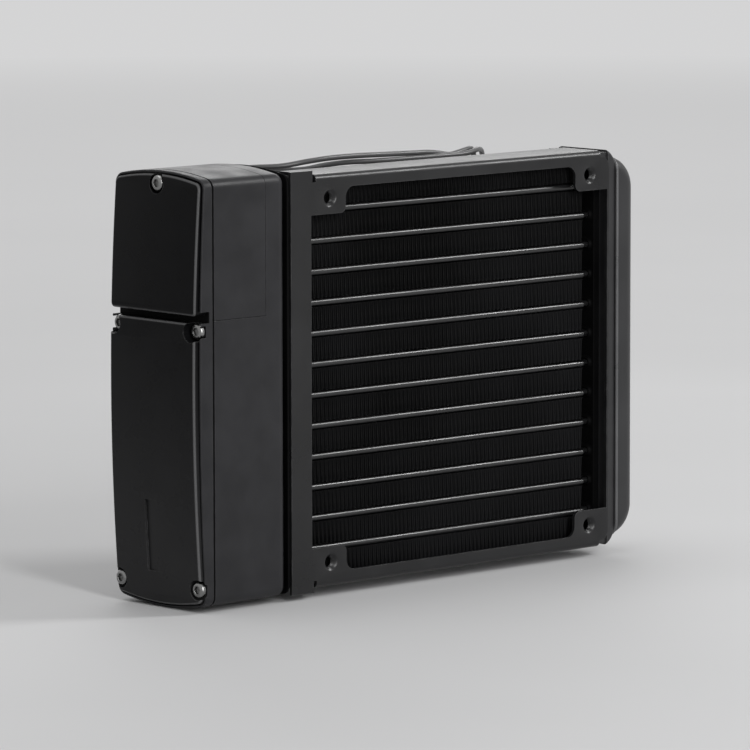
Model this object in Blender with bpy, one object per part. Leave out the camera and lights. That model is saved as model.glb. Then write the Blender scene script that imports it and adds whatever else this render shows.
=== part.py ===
"""Liquid cooler for a computer's processor: a 120 mm radiator that carries its pump and reservoir.

The radiator's front faces -Y, its length runs along X and +Z is up. Pieces are laid out round
the middle of the four fan holes, on the front sheet's face. An empty then moves them, so that
the origin is the middle of the bottom of the cooler's box. All sizes are in metres.
"""

import math

import bmesh
import bpy
from mathutils import Vector

# Clearances
GAP = 0.0003  # between two pieces that rest on each other
SEAM = 0.0001  # on each side of the flat gasket
RUNNING_GAP = 0.00006  # shaft in its bushes
OVERLAP = 0.00025  # of two solids that are joined into one

# Driving sizes
HOLE_SPACING = 0.105  # fan holes of a 120 mm fan
RADIATOR_DEPTH = 0.027

# Front and back sheets of the radiator, set out from the fan holes
HALF_HOLES = HOLE_SPACING / 2
SHEET = 0.001
SHEET_RIGHT = HALF_HOLES + 0.0081
FRAME_HALF_HEIGHT = HALF_HOLES + 0.0070
STRIP_HALF_HEIGHT = FRAME_HALF_HEIGHT + 0.0012
STRIP_WIDTH = 0.0079
BACK_STRIP_WIDTH = 0.0065
WINDOW_HALF_WIDTH = SHEET_RIGHT - 0.0008
WINDOW_HALF_HEIGHT = HALF_HOLES + 0.0029
TAB_X = HALF_HOLES - 0.0061
TAB_Z = HALF_HOLES - 0.0046
TAB_CORNER = 0.002
TAB_ROOT = 0.003
FOLD_RADIUS = 0.0017
CORNER_CUT = 0.0036
FOLD_LEFT = -HALF_HOLES - 0.0055
FOLD_RIGHT = SHEET_RIGHT - CORNER_CUT
RELIEF_WIDTH = 0.0013
RELIEF_DEPTH = 0.0005
NECK_BORE = 0.00165
NECK_MOUTH = 0.00245
NECK_LENGTH = 0.0012
FRONT_WALL = 0.0156  # how far back the front sheet's folded walls reach
BACK_LIP = 0.002
STRIP_RIGHT_X = -WINDOW_HALF_WIDTH
STRIP_LEFT_X = STRIP_RIGHT_X - STRIP_WIDTH
BACK_SHEET_HALF_HEIGHT = FRAME_HALF_HEIGHT - SHEET - GAP

# Core
SIDE_PLATE = 0.001
SIDE_PLATE_TOP = BACK_SHEET_HALF_HEIGHT
CORE_HALF_HEIGHT = SIDE_PLATE_TOP - SIDE_PLATE - GAP
CORE_MARGIN = 0.00008
CORE_INSET = 0.004
CORE_FRONT = CORE_INSET
CORE_BACK = RADIATOR_DEPTH - CORE_INSET
TUBE_COUNT = 12
TUBE_THICKNESS = 0.0018
TUBE_PITCH = (2 * (CORE_HALF_HEIGHT - CORE_MARGIN) + TUBE_THICKNESS) / (TUBE_COUNT + 1)
TUBE_WALL = 0.00035
TUBE_FORMED_LENGTH = 0.0046
TUBE_FORMED_RAMP = 0.001
TUBE_FORMED_INSET = 0.002
TUBE_REACH = 0.0007  # how far a tube's end stands inside its header
FIN_SHEET = 0.00035
FIN_PITCH = 0.006

# Left header, with the plate that the pump housing is sealed to
HEADER_WALL = 0.0015
LEFT_HEADER_FACE = STRIP_RIGHT_X - 0.0005
LEFT_PAN_DEPTH = 0.0064
LEFT_PAN_X = LEFT_HEADER_FACE - LEFT_PAN_DEPTH
ARC_PLATE = 0.0008
ARC_PLATE_INSET = 0.0004
ARC_STEP_INSET = 0.0016
ARC_STEP_X = STRIP_LEFT_X - GAP
BAFFLE = 0.002
CHAMBER_MARGIN = 0.0015

# Right header and end tank
RIGHT_HEADER_FACE = WINDOW_HALF_WIDTH - 0.0012
RIGHT_PLATE_MARGIN = 0.0015
RIM_LEFT = SHEET_RIGHT + GAP
RIM_RIGHT = RIM_LEFT + 0.0037
RIM_FRONT = 0.0009
RIM_BACK = CORE_BACK + 0.0001
RIM_HALF_HEIGHT = FRAME_HALF_HEIGHT + 0.0004
RIM_CORNER_X = RIM_LEFT - 0.0023  # middle of its round corners
RIM_FRONT_EDGE = 0.001
RIM_BACK_EDGE = 0.003
TANK_LEFT = RIM_RIGHT + GAP
TANK_RIGHT = TANK_LEFT + 0.0079
TANK_FRONT = 0.0006
TANK_BACK = CORE_BACK + 0.0004
TANK_HALF_HEIGHT = FRAME_HALF_HEIGHT - 0.0023
TANK_CORNER_X = TANK_LEFT - 0.0016
TANK_EDGE = 0.004
TANK_WALL = 0.002
TUBE_FORMED_FROM = RIGHT_HEADER_FACE - TUBE_FORMED_LENGTH
TUBE_LEFT_X = LEFT_HEADER_FACE - HEADER_WALL - TUBE_REACH
TUBE_RIGHT_X = RIGHT_HEADER_FACE + HEADER_WALL + TUBE_REACH

# Pump and reservoir housing
HOUSING_LENGTH = 0.0278
HOUSING_RIGHT = ARC_STEP_X - ARC_PLATE - GAP
HOUSING_LEFT = HOUSING_RIGHT - HOUSING_LENGTH
HOUSING_DEPTH = RADIATOR_DEPTH + 0.011
HOUSING_HALF_HEIGHT = STRIP_HALF_HEIGHT + 0.0015
HOUSING_CROWN = 0.0021
HOUSING_CORNER = 0.003
HOUSING_EDGE = 0.0035  # round of its end towards the radiator
HOUSING_WALL = 0.0024
HOUSING_FLOOR = 0.003
FLOOR_Z = -HOUSING_HALF_HEIGHT
PUMP_Y = HOUSING_DEPTH / 2
PUMP_HEIGHT = 0.0342
PUMP_Z = FLOOR_Z + PUMP_HEIGHT
CHAMBER_WALL = 0.0016
CHAMBER_WALL_RISE = 0.0376
CHAMBER_WALL_Z = PUMP_Z + CHAMBER_WALL_RISE
CHAMBER_PORT_HALF_WIDTH = 0.006
CHAMBER_PORT_HALF_HEIGHT = 0.010
CHAMBER_PORT_Y = RADIATOR_DEPTH / 2
CHAMBER_PORT_DROP = 0.0242
CHAMBER_PORT_Z = HOUSING_HALF_HEIGHT - CHAMBER_PORT_DROP

# Channel between the two covers, and the inset panel beside the upper one
CHANNEL_DROP = 0.0388
CHANNEL_HEIGHT = 0.0032
CHANNEL_HIGH = HOUSING_HALF_HEIGHT - CHANNEL_DROP
CHANNEL_LOW = CHANNEL_HIGH - CHANNEL_HEIGHT
CHANNEL_SUNK = 0.0002
PANEL = 0.0007
PANEL_LENGTH = 0.0196
PANEL_BOTTOM = CHANNEL_LOW + 0.0004
PANEL_RIGHT = HOUSING_LEFT + PANEL_LENGTH

# End plate, its gasket and the two covers
GASKET = 0.0005
GASKET_INSET = 0.0004
GASKET_WIDTH = 0.0019
PLATE_INNER_X = HOUSING_LEFT - GASKET - 2 * SEAM
END_PLATE = 0.0013
SEAT_X = PLATE_INNER_X - END_PLATE
RIM_FACE = 0.0027  # height of the rim at its ends, over the plate's inner face
RIM_BULGE = 0.0019
RIM_WIDTH = 0.001
RIM_BEVEL = 0.0006
COVER_BACK_X = SEAT_X - GAP
COVER_INSET = RIM_WIDTH + 0.0004
COVER_FACE = 0.0037
COVER_BULGE = 0.0027
COVER_BEVEL = 0.0007
COVER_SKIN = 0.0016
COVER_SIDE_WALL = 0.0056
SLOT_Y = PUMP_Y + 0.004
SLOT_WIDTH = 0.005
SLOT_DEPTH = 0.0007
SLOT_RISE = 0.0102
SLOT_LENGTH = 0.0205
SLOT_BOTTOM = FLOOR_Z + SLOT_RISE
SLOT_TOP = SLOT_BOTTOM + SLOT_LENGTH

# Screws of the covers
SCREW_INSET = 0.0025
SCREW_HIGH_Z = CHANNEL_LOW - 0.0024
SCREW_LOW_Z = FLOOR_Z + 0.0066
SCREW_TOP_Z = HOUSING_HALF_HEIGHT - 0.0036
SCREW_HEAD = 0.0023
SCREW_HEAD_TOP = 0.0017
SCREW_HEAD_HEIGHT = 0.0015
SCREW_SHANK = 0.0012
SCREW_HOLE = 0.0015
SCREW_LENGTH = 0.0115
SCREW_HEX = 0.0012
SCREW_HEX_DEPTH = 0.0009
POCKET = 0.003
HEAD_SEAT_X = PLATE_INNER_X - 0.0024
BOSS_HALF = 0.0033
BOSS_LENGTH = 0.0125
SCREW_TIP_ROOM = 0.001

# Pump
PUMP_ROOM = 0.001  # between the pump and the housing's walls
MOTOR_CUP = HOUSING_DEPTH / 2 - HOUSING_WALL - PUMP_ROOM
MOTOR_CUP_WALL = 0.0014
CUP_END_X = SEAT_X + 0.0122
CUP_FLOOR_X = CUP_END_X - 0.0026
CAN_BORE = 0.0054
CAN_WALL = 0.0012
CAN_TOP_X = SEAT_X + 0.001
CAN_BOTTOM_X = CAN_TOP_X + 0.0046
STATOR_SHELL = 0.001
BUSH_OUTER = 0.0022
BUSH_LENGTH = 0.0025
REAR_BUSH_X = CAN_BOTTOM_X - BUSH_LENGTH
BEARING_PLATE = 0.0012
BEARING_PLATE_X = CUP_END_X + GAP
FRONT_BUSH_X = BEARING_PLATE_X - (BUSH_LENGTH - BEARING_PLATE) / 2
SHAFT_RADIUS = 0.001
SHAFT_LEFT_X = REAR_BUSH_X + GAP
ROTOR_BORE = SHAFT_RADIUS + GAP
MAGNET_RADIUS = 0.0049
MAGNET_LENGTH = 0.0055
DISC_X = BEARING_PLATE_X + BEARING_PLATE + 0.0012
IMPELLER_DISC = 0.001
IMPELLER_HUB = 0.003
BLADE_END_X = DISC_X + IMPELLER_DISC + 0.0038
BLADE_COUNT = 5
BLADE_THICKNESS = 0.001
BLADE_SWEEP = 50.0
VOLUTE_FLOOR_X = BLADE_END_X + 0.0008
VOLUTE_END_X = VOLUTE_FLOOR_X + 0.0016
VOLUTE_SIDE_WALL = 0.0032
VOLUTE_ROOM = 0.0024  # round the impeller
IMPELLER_RADIUS = MOTOR_CUP - VOLUTE_SIDE_WALL - VOLUTE_ROOM
BEARING_PLATE_RADIUS = IMPELLER_RADIUS - 0.0015
VOLUTE_EYE = 0.004
NOZZLE_RADIUS = 0.004
NOZZLE_BORE = 0.0028
NOZZLE_TOP = 0.019
BOARD = 0.0012
BOARD_MARGIN = 0.0075
BOARD_HALF_WIDTH = HOUSING_DEPTH / 2 - BOARD_MARGIN
BOARD_HALF_HEIGHT = 0.020

# Hose ports at the back of the housing
PORT_INSET = 0.0109
RETURN_PORT_DROP = 0.0262
SUPPLY_PORT_RISE = 0.022
PORT_X = HOUSING_RIGHT - PORT_INSET
RETURN_PORT_Z = HOUSING_HALF_HEIGHT - RETURN_PORT_DROP
SUPPLY_PORT_Z = PUMP_Z + SUPPLY_PORT_RISE
PORT_SHANK = 0.0052
PORT_BORE = 0.0034
PORT_FLANGE = 0.0078
PORT_FLANGE_THICKNESS = 0.002
PORT_LENGTH = 0.015
PORT_BARB = 0.0005

# Pump lead: two loose wires from a gland at the back of the housing to a small connector
GLAND_INSET = 0.0076
GLAND_DROP = 0.0122
GLAND_X = HOUSING_RIGHT - GLAND_INSET
GLAND_Z = HOUSING_HALF_HEIGHT - GLAND_DROP
GLAND_FLANGE = 0.004
GLAND_NOSE = 0.0024
GLAND_LENGTH = 0.0062
GLAND_FLANGE_THICKNESS = 0.0018
WIRE_RADIUS = 0.0008
WIRE_SPACING = 0.0043
CONNECTOR_WIDTH = 0.0078
CONNECTOR_LENGTH = 0.0120
CONNECTOR_HEIGHT = 0.0058
CONNECTOR_PIN = 0.0013
CONNECTOR_PIN_PITCH = 0.00254
CONNECTOR_PIN_DEPTH = 0.006

ROUND_STEPS = 24
SMALL_STEPS = 12
PORT_STEPS = 16
FOLD_STEPS = 3
SIDE_STEPS = 6

AXES = {
    "X": lambda u, v, w: (w, u, v),
    "Y": lambda u, v, w: (u, w, v),
    "Z": lambda u, v, w: (u, v, w),
}


def clear_scene():
    for obj in list(bpy.data.objects):
        bpy.data.objects.remove(obj)


def material(name, colour, roughness, metallic=0.0):
    made = bpy.data.materials.new(name)
    made.use_nodes = True
    shader = made.node_tree.nodes["Principled BSDF"]
    shader.inputs["Base Color"].default_value = (*colour, 1)
    shader.inputs["Roughness"].default_value = roughness
    shader.inputs["Metallic"].default_value = metallic
    return made


def arc(centre, radius, start, end, steps):
    """Points of an arc, both ends included. Angles are in degrees."""
    turns = [math.radians(start + (end - start) * i / steps) for i in range(steps + 1)]
    return [(centre[0] + radius * math.cos(t), centre[1] + radius * math.sin(t)) for t in turns]


def rectangle(left, right, low, high, corner=0.0, steps=3):
    """A loop round a rectangle, with round corners where corner isn't 0."""
    if not corner:
        return [(left, low), (right, low), (right, high), (left, high)]
    middles = (
        ((right - corner, low + corner), 270),
        ((right - corner, high - corner), 0),
        ((left + corner, high - corner), 90),
        ((left + corner, low + corner), 180),
    )
    return [p for middle, start in middles for p in arc(middle, corner, start, start + 90, steps)]


def circle(centre, radius, steps):
    return arc(centre, radius, 0, 360, steps)[:-1]


def moved(loop, across, up):
    return [(u + across, v + up) for u, v in loop]


def ring(bm, axis, loop, along):
    return [bm.verts.new(AXES[axis](u, v, along)) for u, v in loop]


def skin(bm, first, second):
    """Faces between two rings of equal count, or between a ring and a single point."""
    if len(first) == 1:
        first, second = second, first
    count = len(first)
    for i in range(count):
        j = (i + 1) % count
        if len(second) == 1:
            bm.faces.new((first[i], first[j], second[0]))
        else:
            bm.faces.new((first[i], first[j], second[j], second[i]))


def fill(bm, rings):
    """Faces over the flat area inside the first ring and outside the others."""
    if len(rings) == 1:
        bm.faces.new(rings[0])
        return
    edges = [bm.edges.get((a, b)) for r in rings for a, b in zip(r, r[1:] + r[:1])]
    bmesh.ops.triangle_fill(bm, use_beauty=True, edges=edges)


def slab(bm, axis, low, high, outer, holes=()):
    """A flat piece between two planes along the axis, with its outline and holes as loops."""
    ends = [[ring(bm, axis, loop, along) for loop in (outer, *holes)] for along in (low, high)]
    for first, second in zip(*ends):
        skin(bm, first, second)
    for rings in ends:
        fill(bm, rings)


def turned(bm, axis, centre, profile, steps=ROUND_STEPS):
    """Turns a profile of (along, radius). It closes on itself, unless it starts on the axis."""
    rings = []
    for along, radius in profile:
        loop = circle(centre, radius, steps) if radius else [centre]
        rings.append(ring(bm, axis, loop, along))
    for first, second in zip(rings, rings[1:]):
        skin(bm, first, second)
    if len(rings[0]) > 1:
        skin(bm, rings[-1], rings[0])
    return rings[-1]


def tube_profile(low, high, inner, outer):
    return [(low, inner), (low, outer), (high, outer), (high, inner)]


def rod_profile(low, high, radius):
    return [(low, 0), (low, radius), (high, radius), (high, 0)]


def mesh_of(name, bm):
    bmesh.ops.recalc_face_normals(bm, faces=bm.faces)
    mesh = bpy.data.meshes.new(name)
    bm.to_mesh(mesh)
    bm.free()
    mesh.shade_smooth()
    mesh.set_sharp_from_angle(angle=math.radians(30))
    return mesh


def add(name, mesh, finish, parent, location=(0, 0, 0)):
    """Puts a piece into the scene. Its mesh may be shared by several pieces."""
    obj = bpy.data.objects.new(name, mesh)
    bpy.context.scene.collection.objects.link(obj)
    obj.parent = parent
    obj.location = location
    if not mesh.materials:
        mesh.materials.append(finish)
    return obj


def cutter(name, bm, parent):
    obj = bpy.data.objects.new(name, mesh_of(name, bm))
    bpy.context.scene.collection.objects.link(obj)
    obj.parent = parent
    obj.hide_render = True
    obj.display_type = "WIRE"
    return obj


def boolean(obj, tool, operation):
    made = obj.modifiers.new(tool.name, "BOOLEAN")
    made.operation = operation
    made.solver = "EXACT"
    made.object = tool


# Outline of the housing, seen along X: flat front and back, crowned top and bottom


def crown(inset):
    """Centre height and radius of the arc over the top."""
    half = HOUSING_DEPTH / 2
    radius = (half**2 + HOUSING_CROWN**2) / (2 * HOUSING_CROWN)
    return HOUSING_HALF_HEIGHT - radius, radius - inset


def top_path(inset, back_corner=True):
    """Points over the top from the front side to the back, as (y, z)."""
    centre_z, radius = crown(inset)
    corner = max(HOUSING_CORNER - inset, HOUSING_CORNER / 6)
    half = HOUSING_DEPTH / 2
    reach = half - inset - corner
    corner_z = centre_z + math.sqrt((radius - corner) ** 2 - reach**2)
    lean = math.degrees(math.atan2(reach, corner_z - centre_z))
    points = arc((half - reach, corner_z), corner, 180, 90 + lean, 3)
    points += arc((half, centre_z), radius, 90 + lean, 90 - lean, 8)[1:]
    if back_corner:
        points += arc((half + reach, corner_z), corner, 90 - lean, 0, 3)[1:]
    return points


def housing_outline(inset=0.0):
    top = top_path(inset)
    return top + [(y, -z) for y, z in reversed(top)]


def side_heights(low, high, count):
    return [low + (high - low) * i / count for i in range(1, count)]


def cover_outline(inset, low=None, high=None):
    """A loop for a cover or the rim. Where low or high is None, that end follows the housing."""
    front = inset
    back = HOUSING_DEPTH - inset
    top = top_path(inset) if high is None else [(front, high), (back, high)]
    if low is None:
        bottom = [(y, -z) for y, z in reversed(top_path(inset))]
    else:
        bottom = [(back, low), (front, low)]
    heights = side_heights(bottom[-1][1], top[0][1], SIDE_STEPS)
    return top + [(back, z) for z in reversed(heights)] + bottom + [(front, z) for z in heights]


def face_x(height, face, bulge):
    """X of a bulged face at a height, from the plate's inner face."""
    return PLATE_INNER_X - face - bulge * (1 - (height / HOUSING_HALF_HEIGHT) ** 2)


def bulged_ring(bm, loop, face, bulge, sunk=0.0):
    return [bm.verts.new((face_x(z, face, bulge) + sunk, y, z)) for y, z in loop]


def fill_crown(bm, verts):
    """Flat strips across a crowned end, whose points come in pairs of equal height."""
    last = len(verts) - 1
    middle = last // 2
    for i in range(middle - 1):
        bm.faces.new((verts[i], verts[i + 1], verts[last - i - 1], verts[last - i]))
    bm.faces.new(verts[middle - 1 : middle + 2])


def fill_bulged(bm, verts, low, high):
    """Fills a bulged ring with strips across its crowned ends and between its two sides."""
    crowned = len(top_path(0))
    tops = crowned if high is None else 2
    bottoms = crowned if low is None else 2
    inner = SIDE_STEPS - 1
    top, rest = verts[:tops], verts[tops:]
    back, bottom, front = rest[:inner], rest[inner : inner + bottoms], rest[inner + bottoms :]
    back_side = [top[-1], *back, bottom[0]]
    front_side = [top[0], *reversed(front), bottom[-1]]
    if high is None:
        fill_crown(bm, top)
    if low is None:
        fill_crown(bm, bottom)
    for i in range(SIDE_STEPS):
        bm.faces.new((back_side[i], back_side[i + 1], front_side[i + 1], front_side[i]))


def screw_places():
    """(y, z) of the five screws that hold the covers."""
    back = HOUSING_DEPTH - SCREW_INSET
    return [
        (HOUSING_DEPTH / 2, SCREW_TOP_Z),
        (SCREW_INSET, SCREW_HIGH_Z),
        (back, SCREW_HIGH_Z),
        (SCREW_INSET, SCREW_LOW_Z),
        (back, SCREW_LOW_Z),
    ]


# Radiator: folded sheets


def window_loop():
    """The opening of a sheet: a rectangle with a tab left in each corner."""
    quarter = [(WINDOW_HALF_WIDTH, TAB_Z)]
    quarter += arc((TAB_X + TAB_CORNER, TAB_Z + TAB_CORNER), TAB_CORNER, 270, 180, 3)
    quarter += arc((TAB_X - TAB_ROOT, WINDOW_HALF_HEIGHT - TAB_ROOT), TAB_ROOT, 0, 90, 3)
    loop = []
    for side, end in ((1, 1), (-1, 1), (-1, -1), (1, -1)):
        points = quarter if side * end > 0 else quarter[::-1]
        loop += [(side * x, end * z) for x, z in points]
    return loop


def fold(bm, start, face_y, into, wall_y):
    """Folds a sheet through 90 degrees and runs its wall to wall_y.

    start is the sheet's edge as four points: outer left, outer right, inner right, inner left.
    """
    line_z = start[0].co.z
    out = math.copysign(1, line_z)
    ends = (start[0].co.x, start[1].co.x)
    last = start
    radii = (FOLD_RADIUS, FOLD_RADIUS - SHEET)
    for step in range(1, FOLD_STEPS + 2):
        turn = math.radians(90) * min(step, FOLD_STEPS) / FOLD_STEPS
        corners = []
        for radius, xs in zip(radii, (ends, ends[::-1])):
            y = face_y + into * (FOLD_RADIUS - radius * math.cos(turn))
            z = line_z + out * radius * math.sin(turn)
            corners += [bm.verts.new((x, wall_y if step > FOLD_STEPS else y, z)) for x in xs]
        skin(bm, last, corners)
        last = corners
    bm.faces.new(last)


def folded_sheet(name, face_y, into, outer, wall_y, finish, parent):
    """A radiator sheet with its window, four necked holes and folded top and bottom walls."""
    bm = bmesh.new()
    inner_y = face_y + into * SHEET
    faces = []
    for y in (face_y, inner_y):
        faces.append([ring(bm, "Y", loop, y) for loop in (outer, window_loop())])
    (outer_ring, window_ring), (inner_ring, inner_window) = faces
    skin(bm, window_ring, inner_window)
    count = len(outer)
    for i in range(count):
        j = (i + 1) % count
        edge = (outer_ring[i], outer_ring[j], inner_ring[j], inner_ring[i])
        if {outer[i][0], outer[j][0]} == {FOLD_LEFT, FOLD_RIGHT}:
            fold(bm, edge, face_y, into, wall_y)
        else:
            bm.faces.new(edge)
    neck_end = inner_y + into * NECK_LENGTH
    cone_end = inner_y - into * SHEET / 10
    for x in (-HALF_HOLES, HALF_HOLES):
        for z in (-HALF_HOLES, HALF_HOLES):
            wide = circle((x, z), NECK_MOUTH, SMALL_STEPS)
            narrow = circle((x, z), NECK_BORE, SMALL_STEPS)
            rings = [ring(bm, "Y", wide, face_y), ring(bm, "Y", narrow, cone_end)]
            rings += [ring(bm, "Y", narrow, neck_end), ring(bm, "Y", wide, neck_end)]
            rings.append(ring(bm, "Y", wide, inner_y))
            for first, second in zip(rings, rings[1:]):
                skin(bm, first, second)
            faces[0].append(rings[0])
            faces[1].append(rings[-1])
    for rings in faces:
        fill(bm, rings)
    return add(name, mesh_of(name, bm), finish, parent)


def front_frame(finish, parent):
    line_z = FRAME_HALF_HEIGHT - FOLD_RADIUS
    relief_z = line_z - RELIEF_DEPTH
    strip_x = FOLD_LEFT - RELIEF_WIDTH
    upper = [
        (SHEET_RIGHT, line_z - CORNER_CUT),
        (FOLD_RIGHT, line_z),
        (FOLD_LEFT, line_z),
        (FOLD_LEFT, relief_z),
        (strip_x, relief_z),
        (strip_x, STRIP_HALF_HEIGHT),
        (STRIP_LEFT_X, STRIP_HALF_HEIGHT),
    ]
    outer = upper + [(x, -z) for x, z in reversed(upper)]
    folded_sheet("front_frame", 0, 1, outer, FRONT_WALL, finish, parent)


def back_frame(finish, parent):
    line_z = BACK_SHEET_HALF_HEIGHT - FOLD_RADIUS
    upper = [
        (SHEET_RIGHT, line_z - CORNER_CUT),
        (FOLD_RIGHT, line_z),
        (FOLD_LEFT, line_z),
        (STRIP_RIGHT_X - BACK_STRIP_WIDTH, line_z),
    ]
    outer = upper + [(x, -z) for x, z in reversed(upper)]
    wall_y = RADIATOR_DEPTH - FOLD_RADIUS - BACK_LIP
    folded_sheet("back_frame", RADIATOR_DEPTH, -1, outer, wall_y, finish, parent)


# Radiator: core, headers and end tank


def flat_tube_loop(grown=0.0, inset=0.0):
    """Outline of a flat tube, seen along X, round its own middle height."""
    radius = TUBE_THICKNESS / 2 + grown
    front = CORE_FRONT + TUBE_THICKNESS / 2 + inset
    back = CORE_BACK - TUBE_THICKNESS / 2 - inset
    return arc((front, 0), radius, 90, 270, 3) + arc((back, 0), radius, 270, 450, 3)


def tube_heights():
    return [(i - (TUBE_COUNT - 1) / 2) * TUBE_PITCH for i in range(TUBE_COUNT)]


def tubes(finish, parent):
    """Flat tubes. Their right ends are formed narrower, to enter the right header."""
    bm = bmesh.new()
    stations = (
        (TUBE_LEFT_X, 0),
        (TUBE_FORMED_FROM, 0),
        (TUBE_FORMED_FROM + TUBE_FORMED_RAMP, TUBE_FORMED_INSET),
        (TUBE_RIGHT_X, TUBE_FORMED_INSET),
    )
    ends = []
    for grown in (0, -TUBE_WALL):
        rings = [ring(bm, "X", flat_tube_loop(grown, inset), x) for x, inset in stations]
        for first, second in zip(rings, rings[1:]):
            skin(bm, first, second)
        ends.append((rings[0], rings[-1]))
    for outer, inner in zip(*ends):
        skin(bm, outer, inner)
    mesh = mesh_of("flat_tube", bm)
    for i, z in enumerate(tube_heights()):
        add(f"tube_{i + 1:02d}", mesh, finish, parent, (0, 0, z))


def fins(finish, parent):
    """Corrugated fin strips, one between each two tubes and one outside each end tube."""
    left = LEFT_HEADER_FACE + GAP
    right = TUBE_FORMED_FROM
    count = round((right - left) / FIN_PITCH)
    step = (right - left) / count / 2
    height = TUBE_PITCH - TUBE_THICKNESS - 2 * GAP
    run = math.hypot(step, height)
    rise = FIN_SHEET * run / step / 2
    peak = height / 2 - rise
    middle = [(left + i * step, peak if i % 2 else -peak) for i in range(2 * count + 1)]
    outline = moved(middle, 0, rise) + moved(middle, 0, -rise)[::-1]
    bm = bmesh.new()
    slab(bm, "Y", CORE_FRONT, CORE_BACK, outline)
    mesh = mesh_of("fin_strip", bm)
    for i in range(TUBE_COUNT + 1):
        z = (i - TUBE_COUNT / 2) * TUBE_PITCH
        add(f"fin_strip_{i + 1:02d}", mesh, finish, parent, (0, 0, z))


def side_plates(finish, parent):
    right = RIGHT_HEADER_FACE - GAP
    for name, side in (("top_side_plate", 1), ("bottom_side_plate", -1)):
        bm = bmesh.new()
        low, high = sorted((side * SIDE_PLATE_TOP, side * (SIDE_PLATE_TOP - SIDE_PLATE)))
        slab(bm, "Z", low, high, rectangle(LEFT_HEADER_FACE + GAP, right, CORE_FRONT, CORE_BACK))
        add(name, mesh_of(name, bm), finish, parent)


def slot_tool(name, low, high, inset, parent):
    bm = bmesh.new()
    for z in tube_heights():
        slab(bm, "X", low, high, moved(flat_tube_loop(GAP, inset), 0, z))
    return cutter(name, bm, parent)


def left_header(finish, parent):
    """The slotted pan of the left header with the arc-topped plate that meets the housing."""
    start = HOUSING_RIGHT + GAP
    front = SHEET + GAP
    back = RADIATOR_DEPTH - SHEET - GAP
    half = CORE_HALF_HEIGHT
    bm = bmesh.new()
    slab(bm, "X", start, ARC_STEP_X, housing_outline(ARC_PLATE_INSET))
    header = add("left_header", mesh_of("left_header", bm), finish, parent)
    bm = bmesh.new()
    slab(bm, "X", ARC_STEP_X - OVERLAP, LEFT_PAN_X, housing_outline(ARC_STEP_INSET))
    boolean(header, cutter("arc_step", bm, parent), "UNION")
    bm = bmesh.new()
    slab(bm, "X", LEFT_PAN_X - OVERLAP, LEFT_HEADER_FACE, rectangle(front, back, -half, half))
    boolean(header, cutter("header_pan", bm, parent), "UNION")
    bm = bmesh.new()
    inner = rectangle(
        front + HEADER_WALL, back - HEADER_WALL, BAFFLE / 2, half - CHAMBER_MARGIN
    )
    face = LEFT_HEADER_FACE - HEADER_WALL
    slab(bm, "X", start - OVERLAP, face, inner)
    slab(bm, "X", start - OVERLAP, face, [(y, -z) for y, z in inner])
    boolean(header, cutter("header_chambers", bm, parent), "DIFFERENCE")
    tool = slot_tool("left_slots", TUBE_LEFT_X, LEFT_HEADER_FACE + OVERLAP, 0, parent)
    boolean(header, tool, "DIFFERENCE")


def pillow(bm, left, right, half_height, corner_x, front, back, edges):
    """A block with round right corners, struck from corner_x, and rounded front and back edges.

    Its left side is left open, and the loop round that opening is returned.
    """
    rings = []
    steps = 3
    for i in range(2 * steps + 2):
        turn = math.radians(90) * min(i, 2 * steps + 1 - i) / steps
        edge = edges[0] if i <= steps else edges[1]
        shrink = edge * (1 - math.sin(turn))
        depth = edge * (1 - math.cos(turn))
        y = front + depth if i <= steps else back - depth
        reach = right - shrink
        top = half_height - shrink
        bend = reach - corner_x
        lean = math.degrees(math.asin((left - corner_x) / bend))
        loop = arc((corner_x, bend - top), bend, 270 + lean, 360, 5)
        loop += arc((corner_x, top - bend), bend, 0, 90 - lean, 5)
        rings.append(ring(bm, "Y", loop, y))
    for first, second in zip(rings, rings[1:]):
        for i in range(len(first) - 1):
            bm.faces.new((first[i], first[i + 1], second[i + 1], second[i]))
    bm.faces.new(rings[0])
    bm.faces.new(rings[-1])
    return [points[0] for points in rings] + [points[-1] for points in reversed(rings)]


def right_header(finish, parent):
    """The slotted plate of the right header and its rim, which the end tank closes."""
    front = CORE_FRONT + TUBE_FORMED_INSET - HEADER_WALL
    back = CORE_BACK - TUBE_FORMED_INSET + HEADER_WALL
    half = CORE_HALF_HEIGHT
    bm = bmesh.new()
    edges = (RIM_FRONT_EDGE, RIM_BACK_EDGE)
    mouth = pillow(
        bm, RIM_LEFT, RIM_RIGHT, RIM_HALF_HEIGHT, RIM_CORNER_X, RIM_FRONT, RIM_BACK, edges
    )
    bm.faces.new(mouth)
    header = add("right_header", mesh_of("right_header", bm), finish, parent)
    bm = bmesh.new()
    plate = rectangle(front, back, -half, half)
    slab(bm, "X", RIGHT_HEADER_FACE, RIM_LEFT + OVERLAP, plate)
    boolean(header, cutter("header_plate", bm, parent), "UNION")
    bm = bmesh.new()
    margin = RIGHT_PLATE_MARGIN
    inner = rectangle(front + margin, back - margin, margin - half, half - margin)
    slab(bm, "X", RIGHT_HEADER_FACE + HEADER_WALL, RIM_RIGHT + OVERLAP, inner)
    boolean(header, cutter("header_hollow", bm, parent), "DIFFERENCE")
    face = RIGHT_HEADER_FACE - OVERLAP
    tool = slot_tool("right_slots", face, TUBE_RIGHT_X, TUBE_FORMED_INSET, parent)
    boolean(header, tool, "DIFFERENCE")


def end_tank(finish, parent):
    """A hollow tank, open towards the right header."""
    bm = bmesh.new()
    mouths = []
    for wall in (0, TANK_WALL):
        mouth = pillow(
            bm,
            TANK_LEFT,
            TANK_RIGHT - wall,
            TANK_HALF_HEIGHT - wall,
            TANK_CORNER_X,
            TANK_FRONT + wall,
            TANK_BACK - wall,
            (TANK_EDGE - wall, TANK_EDGE - wall),
        )
        mouths.append(mouth)
    skin(bm, *mouths)
    add("end_tank", mesh_of("end_tank", bm), finish, parent)


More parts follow.
